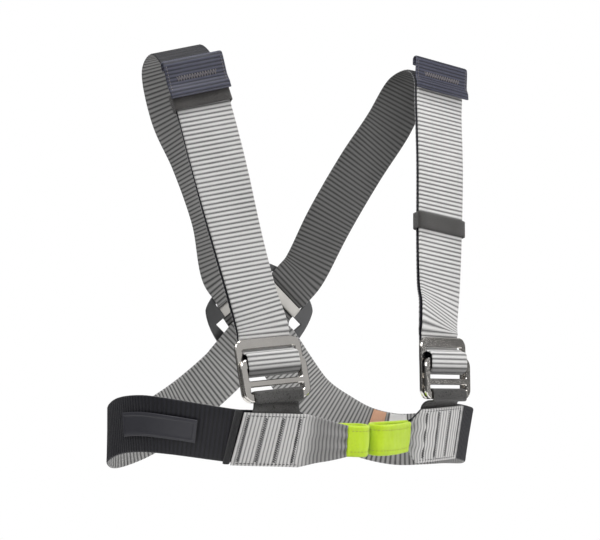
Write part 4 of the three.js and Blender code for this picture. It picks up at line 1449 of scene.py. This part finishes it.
@dataclass
class TieInLoop:
    """Lime sleeve over the webbing, sewn along both edges."""

    side: Side
    wrinkle: float = 0.11
    seam: float = 0.17

    def build(self, finishes: Finishes) -> None:
        """Builds and dresses the sleeve and its stitch lines."""
        label = self.side.label
        ribbon = Ribbon(loop_path(self.side), 0.7)

        def swell(over: float, share: float) -> float:
            """Returns the cloth's small folds."""
            s = share * ribbon.length
            folds = math.sin(s * 0.55 + 3 * over) + 0.6 * math.sin(s * 1.3 - 5 * over)
            return self.wrinkle * folds * math.sin(math.pi * min(share * 6, (1 - share) * 6, 0.5))

        section = Section.rimmed(2, (0.0, 0.15), (0.01, 0.5), (0.05, 0.8), (0.12, 0.82), (self.seam, 0.7),
                                 (0.24, 0.88), (0.38, 0.98))
        piece = ribbon_mesh(f"loop_sleeve_{label}", ribbon, LOOP_THICKNESS, section, 0.05, 1.1, swell)
        dress(piece, "lime_sleeve", finishes.lime, finishes.lime)
        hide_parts(f"tie_in_loop_{label}")
        rows: list[Stitch] = []
        for over in (self.seam, 1 - self.seam):
            for lift in (-LOOP_THICKNESS * 0.36, LOOP_THICKNESS * 0.36):
                row = running(ribbon, ((2.0, over), (ribbon.length - 2.0, over)), lift, 2.0, 0.9)
                rows += [(a, b, look * math.copysign(1, lift)) for a, b, look in row]
        dress(stitch_mesh(f"loop_stitches_{label}", rows), "lime_sleeve", finishes.lime_thread)


@dataclass
class Patch:
    """The webbing's folded-back end, pleated out of the loop and stitched down in dark rows."""

    side: Side
    rows: int = 4
    row_width: float = 2.6
    curve_spare: float = 1.02
    pucker: float = 0.12
    puckers: int = 5
    # Brightness of the painted shade over the pleated part.
    pleat_painted_shade: float = 0.5

    def build(self, finishes: Finishes) -> None:
        """Builds and dresses the patch and its stitches."""
        label = self.side.label
        stations, gathered = patch_path(self.side)
        ribbon = Ribbon(stations, RIB_PITCH / RIB_SAMPLES)
        flat = abs(SIZES[self.side].far - SIZES[self.side].near) * self.curve_spare
        flat_from = ribbon.length - flat

        def swell(over: float, share: float) -> float:
            """Returns the height of the pleats and the puckers between the stitch rows."""
            loose = max(0.0, 1 - share / gathered)
            pleat = PLEAT_DEPTH * loose * math.cos(2 * math.pi * PLEATS * over)
            held = smoothstep(share, gathered * 0.9, gathered * 1.1)
            wave = math.sin(2 * math.pi * self.puckers * over + 9 * share)
            return pleat + self.pucker * held * wave

        def tone(s: float) -> float:
            """Returns the painted shade of the cloth, as brightness, which is lower between the pleats."""
            return self.pleat_painted_shade + (1 - self.pleat_painted_shade) * smoothstep(s, flat_from - 14, flat_from + 2)

        piece = ribbon_mesh(f"patch_{label}", ribbon, WEBBING_THICKNESS, Section.flat(20), RIB_HEIGHT * 0.6,
                            3.0, swell, tone)
        dress(piece, "webbing_grey", finishes.patch, finishes.navy)
        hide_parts(f"front_patch_{label}")
        lift = WEBBING_THICKNESS / 2 + 0.12
        rows: list[Stitch] = []
        for index in range(self.rows):
            s = flat_from + flat * (0.08 + 0.84 * index / (self.rows - 1))
            rows += zigzag(ribbon, ((s, 0.08), (s, 0.92)), lift, self.row_width, 0.95)
        for over in (0.05, 0.95):
            rows += running(ribbon, ((flat_from, over), (ribbon.length - 2, over)), lift, 2.2, 1.0)
        dress(stitch_mesh(f"patch_stitches_{label}", rows), "webbing_grey", finishes.dark_thread)


@dataclass
class BackPlate:
    """Cross-over plate with a dark rim and a light bar over each strap."""

    proud: float = 0.2

    def build(self, finishes: Finishes) -> None:
        """Builds and dresses the plate and its two bars."""
        plate = refined("back_plate", "cross_plate", 0.5, 3)
        dress(plate, "plate_dark", finishes.rim)
        for side in Side:
            self._bar(side, finishes)

    def _bar(self, side: Side, finishes: Finishes) -> None:
        """Builds the light bar between a slot and the opening."""
        angle = math.radians(CROSSING_ANGLE)
        middle = SLOT_AT - SLOT_WIDTH / 2 - LIGHT_BAR / 2
        centre = crossing_station(side, middle, 0).point
        beside = PLATE_AXES.facing(math.cos(angle), side.value * math.sin(angle), 0)
        half = WEBBING_WIDTH / 2 - 0.3
        thick = PLATE_THICKNESS + 2 * self.proud
        stations = [
            Station(centre + beside * half * share, PLATE_AXES.outward, LIGHT_BAR + 0.3)
            for share in (-1, -0.5, 0, 0.5, 1)
        ]
        section = Section.rimmed(2, (0.0, 0.45), (0.02, 0.72), (0.07, 0.92), (0.15, 1.0))
        piece = ribbon_mesh(f"plate_bar_{side.label}", Ribbon(stations, 1.5), thick, section)
        dress(piece, "plate_dark", finishes.bar, finishes.bar)


def trim_run(band: Sequence[Station], start: float, end: float, lift: float, width: float,
             aside: float = 0.0) -> list[Station]:
    """Returns the stations of trim that lies on the band between two distances from the middle."""
    behind = lift < 0
    chosen = []
    for each, under in zip(raised(band, lift, aside), band):
        x, y = under.point[:2]
        if (y > 0) == behind and start <= abs(x) <= end:
            each.width = width
            chosen.append(each)
    return chosen


@dataclass
class Trim:
    """Bare badge, binding strip, care label and its coloured end."""

    border: float = 2.2
    border_width: float = 0.75

    def build(self, finishes: Finishes) -> None:
        """Builds and dresses all trim."""
        bands = {side: band_path(side) for side in Side}
        self._badge(bands[Side.RIGHT], finishes)
        self._binding(finishes)
        self._label(bands[Side.LEFT], finishes)

    def _badge(self, band: Sequence[Station], finishes: Finishes) -> None:
        """Builds the bare badge with its raised border."""
        lift = WEBBING_THICKNESS / 2 + CLEARANCE + BADGE_THICKNESS / 2
        ribbon = Ribbon(trim_run(band, *BADGE_RUN, lift + CLEARANCE, BADGE_HEIGHT), 0.5)

        def swell(over: float, share: float) -> float:
            """Returns the relief: a raised border round a slightly sunken field."""
            inset = min(over * BADGE_HEIGHT, (1 - over) * BADGE_HEIGHT,
                        share * ribbon.length, (1 - share) * ribbon.length)
            ridge = math.exp(-((inset - self.border) / self.border_width) ** 2)
            return 0.32 * ridge - 0.1 * smoothstep(inset, self.border, self.border + 1.5)

        section = Section.rimmed(44, (0.0, 0.3), (0.01, 0.75), (0.03, 1.0))
        piece = ribbon_mesh("badge_plain", ribbon, BADGE_THICKNESS - 0.3, section, swell=swell)
        dress(piece, "badge_rubber", finishes.rubber, finishes.rubber)
        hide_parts("badge")

    def _binding(self, finishes: Finishes) -> None:
        """Builds the binding strip beside the right patch."""
        sizes = SIZES[Side.RIGHT]
        lift = WEBBING_THICKNESS / 2 + CLEARANCE + BINDING_THICKNESS / 2
        stations = []
        for step in range(3):
            reach = sizes.far - 2 * CLEARANCE - BINDING_WIDTH * step / 2
            each = front_station(reach, lift, WEBBING_WIDTH + 1)
            each.skew = sizes.skew
            stations.append(each)
        ribbon = Ribbon(stations, 0.35)

        def swell(over: float, share: float) -> float:
            """Returns the rounded top of the strip."""
            return -1.1 * (2 * share - 1) ** 4

        section = Section.flat(24, 0.02)
        piece = ribbon_mesh("binding", ribbon, BINDING_THICKNESS - 1.0, section, 0.06, 1.0, swell)
        dress(piece, "elastic_dark", finishes.tape, finishes.tape)
        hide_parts("binding_strip")

    def _label(self, band: Sequence[Station], finishes: Finishes) -> None:
        """Builds the bare care label and its coloured end."""
        lift = -WEBBING_THICKNESS / 2 - CLEARANCE - LABEL_THICKNESS / 2

        def swell(over: float, share: float) -> float:
            """Returns the label's slight waves."""
            return 0.15 * math.sin(7 * over + 5 * share)

        for name, node, reaches, slot, finish in (
            ("label_field", "care_label", LABEL_RUN, "label_white", finishes.white),
            ("label_end", "label_tab", LABEL_TAB_RUN, "label_orange", finishes.orange),
        ):
            ribbon = Ribbon(trim_run(band, *reaches, lift, LABEL_HEIGHT, LABEL_ASIDE), 0.5)
            piece = ribbon_mesh(name, ribbon, LABEL_THICKNESS - 0.4, Section.flat(16, 0.02), swell=swell)
            dress(piece, slot, finish, finish)
            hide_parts(node)


@dataclass(frozen=True)
class Lamp:
    """A soft area light that looks at the harness."""

    name: str
    place: tuple[float, float, float]
    size: float
    power: float

    def build(self, target: Vector) -> None:
        """Makes the light."""
        data = bpy.data.lights.new(self.name, "AREA")
        data.shape = "DISK"
        data.size = self.size
        data.energy = self.power
        lamp = show(self.name, data)
        lamp.location = self.place
        lamp.rotation_euler = (target - lamp.location).to_track_quat("-Z", "Y").to_euler()


@dataclass
class Studio:
    """Camera, lights, pale floor and pale surroundings."""

    azimuth: float = -30.0
    distance: float = 1.9
    lens: float = 136.6
    roll: float = 1.0
    target: tuple[float, float, float] = (0.005, 0.0, -0.1735)
    floor_drop: float = 0.62
    floor_radius: float = 0.9
    surroundings: tuple[tuple[float, float], ...] = (
        (0.0, 0.4), (0.38, 0.3), (0.46, 0.05), (0.54, 0.08), (0.62, 0.4), (0.7, 0.75), (0.78, 0.6),
        (0.86, 0.25), (1.0, 0.9),
    )

    def build(self) -> None:
        """Makes everything round the harness."""
        target = Vector(self.target)
        turn = math.radians(self.azimuth)
        right = Vector((math.cos(turn), math.sin(turn), 0))
        front = Vector((math.sin(turn), -math.cos(turn), 0))
        self._camera(target, front)
        self._floor()
        self._world()
        for name, across, ahead, high, size, power in (
            ("key", -0.9, 1.3, 1.7, 1.0, 20.0),
            ("fill", 1.7, 0.35, -0.1, 0.8, 14.0),
            ("front", 0.7, 1.9, 0.9, 1.2, 14.0),
            ("top", 0.0, 0.25, 1.5, 0.8, 14.0),
        ):
            place = target + right * across + front * ahead + Vector((0, 0, high))
            Lamp(name, tuple(place), size, power).build(target)

    def _camera(self, target: Vector, front: Vector) -> None:
        """Makes the camera at the photograph's viewing angle."""
        data = bpy.data.cameras.new("camera")
        data.lens = self.lens
        data.sensor_width = 36.0
        camera = show("camera", data)
        camera.location = target + front * self.distance
        look = (target - camera.location).to_track_quat("-Z", "Y").to_matrix()
        camera.rotation_euler = (look @ Matrix.Rotation(math.radians(self.roll), 3, "Z")).to_euler()
        bpy.context.scene.camera = camera

    def _floor(self) -> None:
        """Makes the pale floor disc."""
        work = bmesh.new()
        bmesh.ops.create_circle(work, cap_ends=True, segments=96, radius=self.floor_radius)
        mesh = bpy.data.meshes.new("floor")
        work.to_mesh(mesh)
        work.free()
        floor = show("floor", mesh)
        floor.location = (0, 0, -self.floor_drop)
        pale = Graph("floor_pale")
        pale.fill(pale.shader, Base_Color=(0.9, 0.9, 0.9, 1), Roughness=0.85)
        mesh.materials.append(pale.material)

    def _world(self) -> None:
        """Makes the pale surroundings, with softer and darker parts for the metal to mirror."""
        world = bpy.data.worlds.new("studio")
        world.use_nodes = True
        tree = world.node_tree
        plain = tree.nodes["Background"]
        plain.inputs["Color"].default_value = (1, 1, 1, 1)
        plain.inputs["Strength"].default_value = 1.0
        soft = tree.nodes.new("ShaderNodeBackground")
        where = tree.nodes.new("ShaderNodeTexCoord")
        split = tree.nodes.new("ShaderNodeSeparateXYZ")
        ramp = tree.nodes.new("ShaderNodeValToRGB")
        ramp.color_ramp.elements.remove(ramp.color_ramp.elements[1])
        for index, (place, level) in enumerate(self.surroundings):
            stop = ramp.color_ramp.elements[0] if index == 0 else ramp.color_ramp.elements.new(place)
            stop.position = place
            stop.color = (level, level, level, 1)
        shift = tree.nodes.new("ShaderNodeMath")
        shift.operation = "MULTIPLY_ADD"
        shift.inputs[1].default_value = 0.5
        shift.inputs[2].default_value = 0.5
        rays = tree.nodes.new("ShaderNodeLightPath")
        mix = tree.nodes.new("ShaderNodeMixShader")
        tree.links.new(where.outputs["Generated"], split.inputs[0])
        tree.links.new(split.outputs["Z"], shift.inputs[0])
        tree.links.new(shift.outputs[0], ramp.inputs[0])
        tree.links.new(ramp.outputs[0], soft.inputs["Color"])
        soft.inputs["Strength"].default_value = 0.75
        tree.links.new(rays.outputs["Is Camera Ray"], mix.inputs[0])
        tree.links.new(soft.outputs[0], mix.inputs[1])
        tree.links.new(plain.outputs[0], mix.inputs[2])
        tree.links.new(mix.outputs[0], tree.nodes["World Output"].inputs["Surface"])
        bpy.context.scene.world = world
        bpy.context.scene.view_settings.view_transform = "Standard"


def main() -> None:
    """Builds the studio and every piece of the harness, in order."""
    logging.basicConfig(level=logging.INFO, format="%(name)s %(message)s")
    Studio().build()
    finishes = Finishes()
    for side in Side:
        Strap(side).build(finishes)
        TailEnd(side).build(finishes)
        Keeper(side).build(finishes)
        Buckle(side).build(finishes)
        TieInLoop(side).build(finishes)
        Patch(side).build(finishes)
    BackPlate().build(finishes)
    Trim().build(finishes)


if __name__ == "__main__":
    main()
